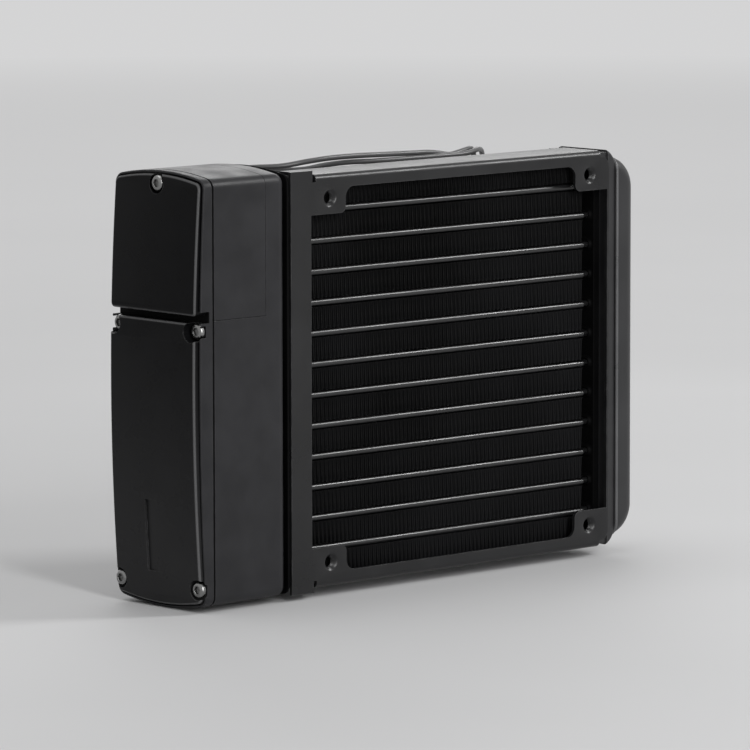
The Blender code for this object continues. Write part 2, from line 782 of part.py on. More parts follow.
# Pump and reservoir housing


def screw_tool(parent):
    """Pockets for the screws' heads, with the holes that run on from them."""
    low = COVER_BACK_X - 3 * RIM_FACE
    high = HEAD_SEAT_X - GAP + SCREW_LENGTH + SCREW_TIP_ROOM
    pocket = [(low, 0), (low, POCKET), (HEAD_SEAT_X, POCKET)]
    profile = [*pocket, (HEAD_SEAT_X, SCREW_HOLE), (high, SCREW_HOLE), (high, 0)]
    bm = bmesh.new()
    for place in screw_places():
        turned(bm, "X", place, profile, SMALL_STEPS)
    return cutter("screw_holes", bm, parent)


def pump_housing(finish, screw_holes, parent):
    floor = HOUSING_RIGHT - HOUSING_FLOOR
    bm = bmesh.new()
    outer = [ring(bm, "X", housing_outline(), HOUSING_LEFT)]
    for step in range(4):
        turn = math.radians(90) * step / 3
        inset = HOUSING_EDGE * (1 - math.cos(turn))
        x = HOUSING_RIGHT - HOUSING_EDGE * (1 - math.sin(turn))
        outer.append(ring(bm, "X", housing_outline(inset), x))
    inner = [ring(bm, "X", housing_outline(HOUSING_WALL), x) for x in (floor, HOUSING_LEFT)]
    rings = [*inner, *outer]
    for first, second in zip(rings, rings[1:]):
        skin(bm, first, second)
    bm.faces.new(rings[0])
    bm.faces.new(rings[-1])
    housing = add("pump_housing", mesh_of("pump_housing", bm), finish, parent)
    boolean(housing, housing_ribs(parent), "UNION")
    boolean(housing, screw_holes, "DIFFERENCE")
    boolean(housing, chamber_ports(parent), "DIFFERENCE")
    boolean(housing, back_bores(parent), "DIFFERENCE")
    bm = bmesh.new()
    recess = panel_band(-PANEL, PANEL + GAP, PANEL_BOTTOM)
    slab(bm, "X", HOUSING_LEFT - PANEL, PANEL_RIGHT, recess)
    boolean(housing, cutter("panel_recess", bm, parent), "DIFFERENCE")


def housing_ribs(parent):
    """Screw bosses inside the walls and the wall between the two chambers."""
    sunk = HOUSING_WALL / 2
    left = HOUSING_LEFT + GAP
    bm = bmesh.new()
    for y, z in screw_places():
        front, back = y - BOSS_HALF, y + BOSS_HALF
        low, high = z - BOSS_HALF, z + BOSS_HALF
        if z == SCREW_TOP_Z:
            high = HOUSING_HALF_HEIGHT - sunk
        else:
            front, back = max(front, sunk), min(back, HOUSING_DEPTH - sunk)
        slab(bm, "X", left, left + BOSS_LENGTH, rectangle(front, back, low, high))
    low = CHAMBER_WALL_Z - CHAMBER_WALL / 2
    wall = rectangle(sunk, HOUSING_DEPTH - sunk, low, low + CHAMBER_WALL)
    slab(bm, "X", left, HOUSING_RIGHT - HOUSING_FLOOR / 2, wall)
    return cutter("housing_ribs", bm, parent)


def chamber_ports(parent):
    """Openings between the housing's two chambers and the two halves of the left header."""
    half_y, half_z = CHAMBER_PORT_HALF_WIDTH, CHAMBER_PORT_HALF_HEIGHT
    bm = bmesh.new()
    for z in (CHAMBER_PORT_Z, -CHAMBER_PORT_Z):
        hole = rectangle(
            CHAMBER_PORT_Y - half_y, CHAMBER_PORT_Y + half_y, z - half_z, z + half_z
        )
        slab(bm, "X", HOUSING_RIGHT - 2 * HOUSING_FLOOR, HOUSING_RIGHT + HOUSING_FLOOR, hole)
    return cutter("chamber_ports", bm, parent)


def back_bores(parent):
    low = HOUSING_DEPTH - 2 * HOUSING_WALL
    high = HOUSING_DEPTH + HOUSING_WALL
    bm = bmesh.new()
    for z in (RETURN_PORT_Z, SUPPLY_PORT_Z):
        bore = rod_profile(low, high, PORT_SHANK + GAP)
        turned(bm, "Y", (PORT_X, z), bore, ROUND_STEPS)
    turned(bm, "Y", (GLAND_X, GLAND_Z), rod_profile(low, high, GLAND_NOSE + GAP), SMALL_STEPS)
    return cutter("back_bores", bm, parent)


def panel_band(outer, inner, bottom):
    """A band of the housing's front side and top, between two insets, as a loop of (y, z)."""
    over = [(outer, bottom)] + top_path(outer, back_corner=False)
    under = [(inner, bottom)] + top_path(inner, back_corner=False)
    return over + under[::-1]


def side_panel(finish, parent):
    bm = bmesh.new()
    band = panel_band(0, PANEL, PANEL_BOTTOM + GAP)
    slab(bm, "X", HOUSING_LEFT, PANEL_RIGHT - GAP, band)
    add("side_panel", mesh_of("side_panel", bm), finish, parent)


def end_plate_gasket(finish, screw_holes, parent):
    left = HOUSING_LEFT - SEAM - GASKET
    bm = bmesh.new()
    inner = housing_outline(GASKET_INSET + GASKET_WIDTH)
    slab(bm, "X", left, left + GASKET, housing_outline(GASKET_INSET), (inner,))
    gasket = add("end_plate_gasket", mesh_of("end_plate_gasket", bm), finish, parent)
    boolean(gasket, screw_holes, "DIFFERENCE")


def end_plate(finish, screw_holes, parent):
    """Closes the housing, seats the covers inside its bulged rim and carries the motor cup."""
    bm = bmesh.new()
    edge = cover_outline(0)
    rings = [
        ring(bm, "X", edge, PLATE_INNER_X),
        bulged_ring(bm, edge, RIM_FACE, RIM_BULGE, RIM_BEVEL),
        bulged_ring(bm, cover_outline(RIM_BEVEL), RIM_FACE, RIM_BULGE),
        bulged_ring(bm, cover_outline(RIM_WIDTH), RIM_FACE, RIM_BULGE),
        ring(bm, "X", cover_outline(RIM_WIDTH), SEAT_X),
    ]
    for first, second in zip(rings, rings[1:]):
        skin(bm, first, second)
    bm.faces.new(rings[0])
    bm.faces.new(rings[-1])
    plate = add("end_plate", mesh_of("end_plate", bm), finish, parent)
    centre = (PUMP_Y, PUMP_Z)
    bm = bmesh.new()
    turned(bm, "X", centre, rod_profile(SEAT_X + END_PLATE / 2, CUP_END_X, MOTOR_CUP))
    boolean(plate, cutter("motor_cup", bm, parent), "UNION")
    outside = SEAT_X - RIM_FACE
    can = CAN_BORE + CAN_WALL
    cup = MOTOR_CUP - MOTOR_CUP_WALL
    bm = bmesh.new()
    pocket = [(outside, 0), (outside, cup), (CUP_FLOOR_X, cup), (CUP_FLOOR_X, can)]
    turned(bm, "X", centre, [*pocket, (CAN_TOP_X, can), (CAN_TOP_X, 0)])
    boolean(plate, cutter("motor_pocket", bm, parent), "DIFFERENCE")
    socket = REAR_BUSH_X - GAP
    beyond = CUP_END_X + RIM_FACE
    seat = BUSH_OUTER + GAP
    bm = bmesh.new()
    bore = [(socket, 0), (socket, seat), (CAN_BOTTOM_X, seat), (CAN_BOTTOM_X, CAN_BORE)]
    turned(bm, "X", centre, [*bore, (beyond, CAN_BORE), (beyond, 0)])
    boolean(plate, cutter("rotor_bore", bm, parent), "DIFFERENCE")
    bm = bmesh.new()
    channel = rectangle(-RIM_FACE, HOUSING_DEPTH + RIM_FACE, CHANNEL_LOW, CHANNEL_HIGH)
    slab(bm, "X", SEAT_X - 3 * RIM_FACE, SEAT_X + CHANNEL_SUNK, channel)
    boolean(plate, cutter("channel", bm, parent), "DIFFERENCE")
    boolean(plate, screw_holes, "DIFFERENCE")


def cover(name, low, high, finish, screw_holes, parent):
    """A hollow bulged cover. low and high are its straight ends, or None for a crowned one."""

    def loop(extra):
        ends = (low and low + extra, high and high - extra)
        return cover_outline(COVER_INSET + extra, *ends)

    bm = bmesh.new()
    rings = [
        bulged_ring(bm, loop(COVER_SIDE_WALL), COVER_FACE, COVER_BULGE, COVER_SKIN),
        ring(bm, "X", loop(COVER_SIDE_WALL), COVER_BACK_X),
        ring(bm, "X", loop(0), COVER_BACK_X),
        bulged_ring(bm, loop(0), COVER_FACE, COVER_BULGE, COVER_BEVEL),
        bulged_ring(bm, loop(COVER_BEVEL), COVER_FACE, COVER_BULGE),
    ]
    for first, second in zip(rings, rings[1:]):
        skin(bm, first, second)
    fill_bulged(bm, rings[0], low, high)
    fill_bulged(bm, rings[-1], low, high)
    made = add(name, mesh_of(name, bm), finish, parent)
    boolean(made, screw_holes, "DIFFERENCE")
    return made


def slot_recess(parent):
    """A shallow recess in the lower cover: a step along its back edge that runs out forwards."""
    heights = [SLOT_BOTTOM + (SLOT_TOP - SLOT_BOTTOM) * i / 4 for i in range(5)]
    bm = bmesh.new()
    rings = []
    for z in heights:
        face = face_x(z, COVER_FACE, COVER_BULGE)
        points = (
            (face + SLOT_DEPTH, SLOT_Y),
            (face - SLOT_DEPTH, SLOT_Y - 2 * SLOT_WIDTH),
            (face - SLOT_DEPTH, SLOT_Y),
        )
        rings.append([bm.verts.new((x, y, z)) for x, y in points])
    for first, second in zip(rings, rings[1:]):
        skin(bm, first, second)
    bm.faces.new(rings[0])
    bm.faces.new(rings[-1])
    return cutter("slot_recess", bm, parent)


def cover_screws(finish, parent):
    """Button-head screws with a hexagon recess. The mesh's origin is under the head."""
    bm = bmesh.new()
    profile = [
        (SCREW_LENGTH, 0),
        (SCREW_LENGTH, SCREW_SHANK),
        (0, SCREW_SHANK),
        (0, SCREW_HEAD),
        (-SCREW_HEAD_HEIGHT / 2, SCREW_HEAD),
    ]
    edge = turned(bm, "X", (0, 0), profile, SMALL_STEPS)
    top = ring(bm, "X", circle((0, 0), SCREW_HEAD_TOP, SMALL_STEPS), -SCREW_HEAD_HEIGHT)
    skin(bm, edge, top)
    hexagon = circle((0, 0), SCREW_HEX, 6)
    mouth = ring(bm, "X", hexagon, -SCREW_HEAD_HEIGHT)
    floor = ring(bm, "X", hexagon, SCREW_HEX_DEPTH - SCREW_HEAD_HEIGHT)
    skin(bm, mouth, floor)
    bm.faces.new(floor)
    fill(bm, [top, mouth])
    mesh = mesh_of("cover_screw", bm)
    x = HEAD_SEAT_X - GAP
    for i, (y, z) in enumerate(screw_places()):
        add(f"cover_screw_{i + 1}", mesh, finish, parent, (x, y, z))


# Pump


def pump_round(name, profile, finish, parent, steps=ROUND_STEPS):
    """A turned pump piece round the parent's X axis; the parent is on the pump's axis."""
    bm = bmesh.new()
    turned(bm, "X", (0, 0), profile, steps)
    return add(name, mesh_of(name, bm), finish, parent)


def stator(core_finish, coil_finish, axis):
    inner = CAN_BORE + CAN_WALL + GAP
    outer = MOTOR_CUP - MOTOR_CUP_WALL - GAP
    left = SEAT_X + GAP
    right = CUP_FLOOR_X - GAP
    shell = STATOR_SHELL
    profile = [
        (left, inner),
        (left, outer),
        (right, outer),
        (right, inner),
        (right - shell, inner),
        (right - shell, outer - shell),
        (left + shell, outer - shell),
        (left + shell, inner),
    ]
    pump_round("stator_core", profile, core_finish, axis)
    coil = tube_profile(
        left + shell + GAP, right - shell - GAP, inner + GAP, outer - shell - GAP
    )
    pump_round("stator_coil", coil, coil_finish, axis)


def control_board(finish, parent):
    left = SEAT_X - GAP - BOARD
    bm = bmesh.new()
    half = BOARD_HALF_WIDTH
    low = PUMP_Z - BOARD_HALF_HEIGHT
    high = PUMP_Z + BOARD_HALF_HEIGHT
    loop = rectangle(PUMP_Y - half, PUMP_Y + half, low, high, BOARD)
    slab(bm, "X", left, left + BOARD, loop)
    add("control_board", mesh_of("control_board", bm), finish, parent)


def bearings(plate_finish, bush_finish, axis):
    hole = BUSH_OUTER + GAP
    end = BEARING_PLATE_X + BEARING_PLATE
    profile = tube_profile(BEARING_PLATE_X, end, hole, BEARING_PLATE_RADIUS)
    pump_round("bearing_plate", profile, plate_finish, axis)
    bore = SHAFT_RADIUS + RUNNING_GAP
    for name, x in (("rear_bush", REAR_BUSH_X), ("front_bush", FRONT_BUSH_X)):
        pump_round(name, tube_profile(x, x + BUSH_LENGTH, bore, BUSH_OUTER), bush_finish, axis)


def rotor(shaft_finish, magnet_finish, impeller_finish, axis):
    """The turning pieces: shaft, ring magnet and impeller."""
    rod = rod_profile(SHAFT_LEFT_X, BLADE_END_X, SHAFT_RADIUS)
    pump_round("rotor_shaft", rod, shaft_finish, axis)
    left = CAN_BOTTOM_X + GAP
    magnet = tube_profile(left, left + MAGNET_LENGTH, ROTOR_BORE, MAGNET_RADIUS)
    pump_round("rotor_magnet", magnet, magnet_finish, axis)
    profile = [
        (DISC_X, ROTOR_BORE),
        (DISC_X, IMPELLER_RADIUS),
        (DISC_X + IMPELLER_DISC, IMPELLER_RADIUS),
        (DISC_X + IMPELLER_DISC, IMPELLER_HUB),
        (BLADE_END_X, IMPELLER_HUB),
        (BLADE_END_X, ROTOR_BORE),
    ]
    impeller = pump_round("impeller", profile, impeller_finish, axis)
    boolean(impeller, impeller_blades(axis), "UNION")


def impeller_blades(axis):
    """Swept blades that stand on the impeller's disc, from its hub to its rim."""
    start = (IMPELLER_HUB + ROTOR_BORE) / 2
    reach = IMPELLER_RADIUS - BLADE_THICKNESS / 2 - start
    steps = 4
    bm = bmesh.new()
    for blade in range(BLADE_COUNT):
        turn = math.radians(360 / BLADE_COUNT * blade)
        sides = ([], [])
        for i in range(steps + 1):
            radius = start + reach * i / steps
            angle = turn + math.radians(BLADE_SWEEP) * i / steps
            for side, points in zip((-1, 1), sides):
                lean = angle + side * BLADE_THICKNESS / 2 / radius
                points.append((radius * math.cos(lean), radius * math.sin(lean)))
        outline = sides[0] + sides[1][::-1]
        slab(bm, "X", DISC_X + IMPELLER_DISC / 2, BLADE_END_X - IMPELLER_DISC / 4, outline)
    return cutter("impeller_blades", bm, axis)


def volute_casing(finish, axis):
    """The cup that the impeller turns in, with its inlet eye and outlet nozzle."""
    wall = VOLUTE_SIDE_WALL
    inner = MOTOR_CUP - wall
    profile = [
        (BEARING_PLATE_X, inner),
        (BEARING_PLATE_X, MOTOR_CUP),
        (VOLUTE_END_X, MOTOR_CUP),
        (VOLUTE_END_X, VOLUTE_EYE),
        (VOLUTE_FLOOR_X, VOLUTE_EYE),
        (VOLUTE_FLOOR_X, inner),
    ]
    casing = pump_round("volute_casing", profile, finish, axis)
    x = (DISC_X + VOLUTE_END_X) / 2
    across = inner - NOZZLE_BORE
    start = NOZZLE_RADIUS
    bm = bmesh.new()
    turned(bm, "Z", (x, across), rod_profile(start, NOZZLE_TOP, NOZZLE_RADIUS), SMALL_STEPS)
    nozzle = cutter("nozzle", bm, axis)
    boolean(casing, nozzle, "UNION")
    bm = bmesh.new()
    turned(bm, "X", (0, 0), rod_profile(BEARING_PLATE_X - wall, VOLUTE_FLOOR_X, inner))
    boolean(casing, cutter("volute_hollow", bm, axis), "DIFFERENCE")
    bm = bmesh.new()
    bore = rod_profile(start + GAP, NOZZLE_TOP + wall, NOZZLE_BORE)
    turned(bm, "Z", (x, across), bore, SMALL_STEPS)
    boolean(casing, cutter("nozzle_bore", bm, axis), "DIFFERENCE")


# Hose ports and the pump lead


def hose_ports(finish, parent):
    """Barbed ports in the housing's back wall. The mesh's origin is on the wall's outer face."""
    neck = PORT_SHANK - PORT_BARB
    flange = GAP + PORT_FLANGE_THICKNESS
    rise = (PORT_LENGTH - flange) / 4
    profile = [
        (-HOUSING_WALL, PORT_BORE),
        (-HOUSING_WALL, PORT_SHANK),
        (GAP, PORT_SHANK),
        (GAP, PORT_FLANGE),
        (flange, PORT_FLANGE),
        (flange, neck),
        (flange + rise, neck),
        (flange + rise, PORT_SHANK + PORT_BARB),
        (flange + 2 * rise, neck),
        (flange + 3 * rise, neck),
        (flange + 3 * rise, PORT_SHANK + PORT_BARB),
        (PORT_LENGTH, neck),
        (PORT_LENGTH, PORT_BORE),
    ]
    bm = bmesh.new()
    turned(bm, "Y", (0, 0), profile, PORT_STEPS)
    mesh = mesh_of("hose_port", bm)
    for name, z in (("return_port", RETURN_PORT_Z), ("supply_port", SUPPLY_PORT_Z)):
        add(name, mesh, finish, parent, (PORT_X, HOUSING_DEPTH, z))


def lead_gland(finish, parent):
    flange = GAP + GLAND_FLANGE_THICKNESS
    profile = [
        (-HOUSING_WALL, 0),
        (-HOUSING_WALL, GLAND_NOSE),
        (GAP, GLAND_NOSE),
        (GAP, GLAND_FLANGE),
        (flange, GLAND_FLANGE),
        (flange, (GLAND_FLANGE + GLAND_NOSE) / 2),
        (GLAND_LENGTH, GLAND_NOSE),
        (GLAND_LENGTH, 0),
    ]
    bm = bmesh.new()
    turned(bm, "Y", (0, 0), profile, SMALL_STEPS)
    place = (GLAND_X, HOUSING_DEPTH, GLAND_Z)
    add("lead_gland", mesh_of("lead_gland", bm), finish, parent, place)


# Where the stretches of the wires are measured from
ANCHORS = {
    "gland": (GLAND_X, HOUSING_DEPTH + GLAND_LENGTH, GLAND_Z),
    "edge": (0, RADIATOR_DEPTH, FRAME_HALF_HEIGHT),
    "back": (0, RADIATOR_DEPTH, 0),
    "floor": (0, RADIATOR_DEPTH, FLOOR_Z),
}

# Route of each wire, chosen by hand, as points past an anchor: out of the gland, over the back
# edge of the frame and along its top, down behind the radiator and along the floor
WIRE_ROUTES = {
    "lead_wire_1": (
        ("gland", (
            (0.00095, 0.0003, 0.0),
            (0.001, 0.0036, 0.0006),
            (0.0055, 0.0058, 0.0038),
        )),
        ("edge", (
            (-0.061, 0.017, -0.0025),
            (-0.053, 0.0078, -0.0006),
            (-0.0455, 0.0014, -0.0001),
            (-0.0385, -0.0018, 0.001),
            (-0.03, -0.0025, 0.00155),
            (-0.02, -0.0026, 0.0016),
            (-0.008, -0.0025, 0.0013),
            (0.004, -0.0023, 0.001),
            (0.01, -0.0021, 0.0008),
            (0.0145, -0.0018, 0.0003),
            (0.019, -0.0016, -0.0004),
            (0.024, -0.0012, 0.0002),
            (0.0285, 0.0, 0.0007),
            (0.032, 0.002, 0.0),
            (0.0342, 0.0038, -0.0023),
            (0.0352, 0.0046, -0.006),
        )),
        ("back", (
            (0.0362, 0.0044, 0.046),
            (0.0358, 0.0038, 0.028),
            (0.0347, 0.0032, 0.004),
            (0.0333, 0.0036, -0.026),
            (0.0312, 0.0052, -0.048),
        )),
        ("floor", (
            (0.0278, 0.0102, 0.0039),
            (0.022, 0.019, 0.001),
            (0.014, 0.0275, 0.00085),
            (0.007, 0.0308, 0.00085),
            (0.0025, 0.031, 0.0009),
        )),
    ),
    "lead_wire_2": (
        ("gland", (
            (-0.00095, 0.0003, 0.0),
            (-0.0009, 0.0038, 0.0002),
            (0.0025, 0.0086, 0.002),
        )),
        ("edge", (
            (-0.063, 0.022, -0.0049),
            (-0.054, 0.0125, -0.0023),
            (-0.046, 0.0045, -0.0016),
            (-0.037, 0.0016, -0.0016),
            (-0.029, 0.0009, -0.0008),
            (-0.021, -0.0008, -0.0003),
            (-0.011, -0.0028, -0.0004),
            (0.004, -0.0035, -0.0004),
            (0.016, -0.0036, -0.0004),
            (0.022, -0.0035, -0.0004),
            (0.027, -0.0028, 0.0),
            (0.031, -0.001, 0.0004),
            (0.0346, 0.0012, -0.0001),
            (0.0372, 0.0032, -0.0019),
            (0.0386, 0.0043, -0.0053),
        )),
        ("back", (
            (0.0399, 0.0042, 0.0455),
            (0.039, 0.0038, 0.028),
            (0.0376, 0.0032, 0.004),
            (0.036, 0.0036, -0.026),
            (0.034, 0.0056, -0.048),
        )),
        ("floor", (
            (0.0308, 0.011, 0.004),
            (0.0245, 0.0204, 0.001),
            (0.016, 0.0292, 0.00085),
            (0.008, 0.0327, 0.00085),
            (0.0025, 0.033, 0.0009),
        )),
    ),
}


def route_points(name):
    """The route points of a wire in the layout's frame."""
    points = []
    for anchor, steps in WIRE_ROUTES[name]:
        points += [Vector(ANCHORS[anchor]) + Vector(step) for step in steps]
    return points


def smooth_points(knots, spacing):
    """Points at an even spacing along a smooth curve through the knots."""
    ends = [2 * knots[0] - knots[1], *knots, 2 * knots[-1] - knots[-2]]
    fine = [knots[0]]
    for before, start, end, after in zip(ends, ends[1:], ends[2:], ends[3:]):
        for i in range(1, 21):
            t = i / 20
            bend = 2 * before - 5 * start + 4 * end - after
            turn = 3 * start - before - 3 * end + after
            fine.append((2 * start + (end - before) * t + bend * t**2 + turn * t**3) / 2)
    lengths = [0.0]
    for first, second in zip(fine, fine[1:]):
        lengths.append(lengths[-1] + (second - first).length)
    count = round(lengths[-1] / spacing)
    points = []
    at = 0
    for i in range(count + 1):
        target = lengths[-1] * i / count
        while at < len(fine) - 2 and lengths[at + 1] < target:
            at += 1
        share = (target - lengths[at]) / (lengths[at + 1] - lengths[at])
        points.append(fine[at].lerp(fine[at + 1], share))
    return points


def lead_wires(finish, parent):
    for name in WIRE_ROUTES:
        points = smooth_points(route_points(name), WIRE_SPACING)
        curve = bpy.data.curves.new(name, "CURVE")
        curve.dimensions = "3D"
        curve.bevel_depth = WIRE_RADIUS
        curve.bevel_resolution = 2
        curve.use_fill_caps = True
        spline = curve.splines.new("POLY")
        spline.points.add(len(points) - 1)
        for point, place in zip(spline.points, points):
            point.co = (*place, 1)
        curve.materials.append(finish)
        wire = bpy.data.objects.new(name, curve)
        bpy.context.scene.collection.objects.link(wire)
        wire.parent = parent


def lead_connector(finish, parent):
    """A three-way connector that lies on the floor, with the wires in its right end."""
    ends = [route_points(name)[-1] for name in WIRE_ROUTES]
    right = ends[0].x - GAP
    middle = (ends[0].y + ends[1].y) / 2
    left = right - CONNECTOR_LENGTH
    half = CONNECTOR_WIDTH / 2
    bm = bmesh.new()
    body = rectangle(middle - half, middle + half, FLOOR_Z, FLOOR_Z + CONNECTOR_HEIGHT)
    half = CONNECTOR_PIN / 2
    z = FLOOR_Z + CONNECTOR_HEIGHT / 2
    pins = [
        rectangle(y - half, y + half, z - half, z + half)
        for y in (middle - CONNECTOR_PIN_PITCH, middle, middle + CONNECTOR_PIN_PITCH)
    ]
    mouth = [ring(bm, "X", loop, left) for loop in (body, *pins)]
    end = ring(bm, "X", body, right)
    skin(bm, mouth[0], end)
    bm.faces.new(end)
    for opening, loop in zip(mouth[1:], pins):
        floor = ring(bm, "X", loop, left + CONNECTOR_PIN_DEPTH)
        skin(bm, opening, floor)
        bm.faces.new(floor)
    fill(bm, mouth)
    add("lead_connector", mesh_of("lead_connector", bm), finish, parent)


def empty(name, parent, location):
    obj = bpy.data.objects.new(name, None)
    bpy.context.scene.collection.objects.link(obj)
    obj.parent = parent
    obj.location = location
    return obj


def box_origin():
    """Moves the layout's origin to the middle of the bottom of the cooler's box."""
    left = face_x(0, COVER_FACE, COVER_BULGE)
    back = HOUSING_DEPTH + PORT_LENGTH
    return (-(left + TANK_RIGHT) / 2, -back / 2, HOUSING_HALF_HEIGHT)


def main():
    clear_scene()
    black_sheet = material("black_painted_sheet", (0.022, 0.022, 0.023), 0.42)
    black_core = material("black_painted_aluminium", (0.016, 0.016, 0.017), 0.5)
    fin_black = material("black_fin_stock", (0.007, 0.007, 0.008), 0.6)
    housing_black = material("moulded_black", (0.026, 0.026, 0.028), 0.48)
    cover_black = material("satin_black", (0.012, 0.012, 0.013), 0.35)
    screw_steel = material("screw_steel", (0.62, 0.62, 0.60), 0.28, 1.0)
    rubber = material("seal_rubber", (0.014, 0.014, 0.014), 0.85)
    iron = material("stator_iron", (0.33, 0.33, 0.34), 0.5, 1.0)
    copper = material("coil_copper", (0.55, 0.24, 0.10), 0.4, 1.0)
    board = material("board_green", (0.02, 0.16, 0.07), 0.5)
    pump_plastic = material("pump_plastic", (0.10, 0.10, 0.11), 0.5)
    carbon = material("bush_carbon", (0.05, 0.05, 0.055), 0.4)
    ceramic = material("shaft_ceramic", (0.80, 0.79, 0.76), 0.25)
    magnet = material("magnet_ferrite", (0.10, 0.10, 0.105), 0.6)
    wire = material("wire_black", (0.03, 0.03, 0.03), 0.5)
    connector = material("connector_nylon", (0.018, 0.018, 0.018), 0.5)

    cooler = empty("cooler", None, box_origin())
    pump_axis = empty("pump_axis", cooler, (0, PUMP_Y, PUMP_Z))
    bpy.context.view_layer.update()

    front_frame(black_sheet, cooler)
    back_frame(black_sheet, cooler)
    side_plates(black_core, cooler)
    tubes(black_core, cooler)
    fins(fin_black, cooler)
    left_header(black_core, cooler)
    right_header(black_core, cooler)
    end_tank(black_core, cooler)

    screw_holes = screw_tool(cooler)
    pump_housing(housing_black, screw_holes, cooler)
    side_panel(housing_black, cooler)
    end_plate_gasket(rubber, screw_holes, cooler)
    end_plate(housing_black, screw_holes, cooler)
    cover("upper_cover", CHANNEL_HIGH, None, cover_black, screw_holes, cooler)
    lower = cover("lower_cover", None, CHANNEL_LOW, cover_black, screw_holes, cooler)
    boolean(lower, slot_recess(cooler), "DIFFERENCE")
    cover_screws(screw_steel, cooler)

    stator(iron, copper, pump_axis)
    control_board(board, cooler)
    bearings(pump_plastic, carbon, pump_axis)
    rotor(ceramic, magnet, pump_plastic, pump_axis)
    volute_casing(pump_plastic, pump_axis)

    hose_ports(housing_black, cooler)
    lead_gland(rubber, cooler)
    lead_wires(wire, cooler)
    lead_connector(connector, cooler)


main()
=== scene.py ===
"""Looks of the liquid cooler: sheets, core, housing, covers, screws and lead over the CAD frame."""

import math

import bmesh
import bpy
from mathutils import Matrix, Vector


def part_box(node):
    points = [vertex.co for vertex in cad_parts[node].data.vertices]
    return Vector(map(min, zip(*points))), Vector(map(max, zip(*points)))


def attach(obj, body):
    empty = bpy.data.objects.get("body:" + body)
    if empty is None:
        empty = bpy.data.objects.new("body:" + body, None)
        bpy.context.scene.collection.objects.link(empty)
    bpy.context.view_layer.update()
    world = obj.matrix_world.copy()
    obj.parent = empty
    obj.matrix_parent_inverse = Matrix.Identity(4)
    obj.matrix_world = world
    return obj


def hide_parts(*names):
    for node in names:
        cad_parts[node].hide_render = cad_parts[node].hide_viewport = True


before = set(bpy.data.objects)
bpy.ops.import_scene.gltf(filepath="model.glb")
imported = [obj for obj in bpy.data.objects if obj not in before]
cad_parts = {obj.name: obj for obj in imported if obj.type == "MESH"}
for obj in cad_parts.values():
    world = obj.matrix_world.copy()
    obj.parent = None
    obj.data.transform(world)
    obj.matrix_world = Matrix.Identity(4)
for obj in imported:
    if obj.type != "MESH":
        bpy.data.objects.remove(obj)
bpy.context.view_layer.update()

# Pieces are laid out round the middle of the four fan holes, on the front sheet's face, in metres:
# the radiator's front faces -Y, its length runs along X and +Z is up
GAP = 0.0003
SHEET_RIGHT = 0.0606
FRAME_LOW, FRAME_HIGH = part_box("front_frame")
ORIGIN = Vector((FRAME_HIGH[0] - SHEET_RIGHT, FRAME_LOW[1], (FRAME_LOW[2] + FRAME_HIGH[2]) / 2))

# Front and back sheets
DEPTH = 0.027
HALF_HOLES = 0.0525
SHEET = 0.001
FRONT_WALL = 0.0156
FRAME_HALF = 0.0595
STRIP_HALF = 0.0607
WINDOW_X = 0.0598
WINDOW_Z = 0.0554
TAB_X = 0.0464
TAB_Z = 0.0479
FOLD_RADIUS = 0.0017
FOLD_LEFT = -0.058
CORNER_CUT = 0.0036
STRIP_RIGHT = -WINDOW_X
STRIP_LEFT = STRIP_RIGHT - 0.0079
BACK_HALF = FRAME_HALF - SHEET - GAP

# Core
CORE_FRONT = 0.004
CORE_BACK = DEPTH - CORE_FRONT
CORE_HALF = BACK_HALF - 0.001 - GAP
TUBE_COUNT = 12
TUBE = 0.0018
TUBE_PITCH = (2 * (CORE_HALF - 0.00008) + TUBE) / (TUBE_COUNT + 1)
FIRST_TUBE = (0, 0, -(TUBE_COUNT - 1) / 2 * TUBE_PITCH)
TUBE_STEP = (0, 0, TUBE_PITCH)
FIN_PITCH = 0.00155
LEFT_FACE = STRIP_RIGHT - 0.0005
RIGHT_FACE = WINDOW_X - 0.0012
FORMED_FROM = RIGHT_FACE - 0.0046
FORMED_IN = 0.002
HEADER_WALL = 0.0015

# Right header's rim and the end tank
RIM_LEFT = SHEET_RIGHT + GAP
RIM_RIGHT = RIM_LEFT + 0.0037
TANK_LEFT = RIM_RIGHT + GAP
TANK_RIGHT = TANK_LEFT + 0.0079
TANK_WALL = 0.002
TANK_EDGE = 0.004
BEAD_RADIUS = 0.0005
BEAD_LEFT = 0.0004

# Housing, end plate and covers
ARC_STEP = STRIP_LEFT - GAP
HOUSING_RIGHT = ARC_STEP - 0.0008 - GAP
HOUSING_LEFT = HOUSING_RIGHT - 0.0278
HOUSING_DEPTH = 0.038
HALF_DEPTH = HOUSING_DEPTH / 2
HOUSING_HALF = 0.0622
HOUSING_WALL = 0.0024
CROWN = 0.0021
CORNER = 0.003
PLATE_X = HOUSING_LEFT - 0.0007
SEAT_X = PLATE_X - 0.0013
COVER_BACK = SEAT_X - GAP
RIM_FACE = 0.0027
RIM_BULGE = 0.0019
COVER_FACE = 0.0037
COVER_BULGE = 0.0027
COVER_INSET = 0.001
COVER_LIP = 0.0011
CHANNEL_HIGH = HOUSING_HALF - 0.0388
CHANNEL_LOW = CHANNEL_HIGH - 0.0032
PUMP_Z = 0.0342 - HOUSING_HALF
PANEL_DEPTH = 0.0007
PANEL_RIGHT = HOUSING_LEFT + 0.0196
PANEL_BOTTOM = CHANNEL_LOW + 0.0004
HEAD_SEAT = PLATE_X - 0.0024
PORT_X = HOUSING_RIGHT - 0.0109
RETURN_Z = HOUSING_HALF - 0.0262
SUPPLY_Z = PUMP_Z + 0.022
GLAND_X = HOUSING_RIGHT - 0.0076
GLAND_Z = HOUSING_HALF - 0.0122
GLAND_LENGTH = 0.0062
FLOOR_Z = -HOUSING_HALF
CUP_CENTRE = (HALF_DEPTH, PUMP_Z)
CUP_RADIUS = 0.0142
CUP_FLOOR = SEAT_X + 0.0096
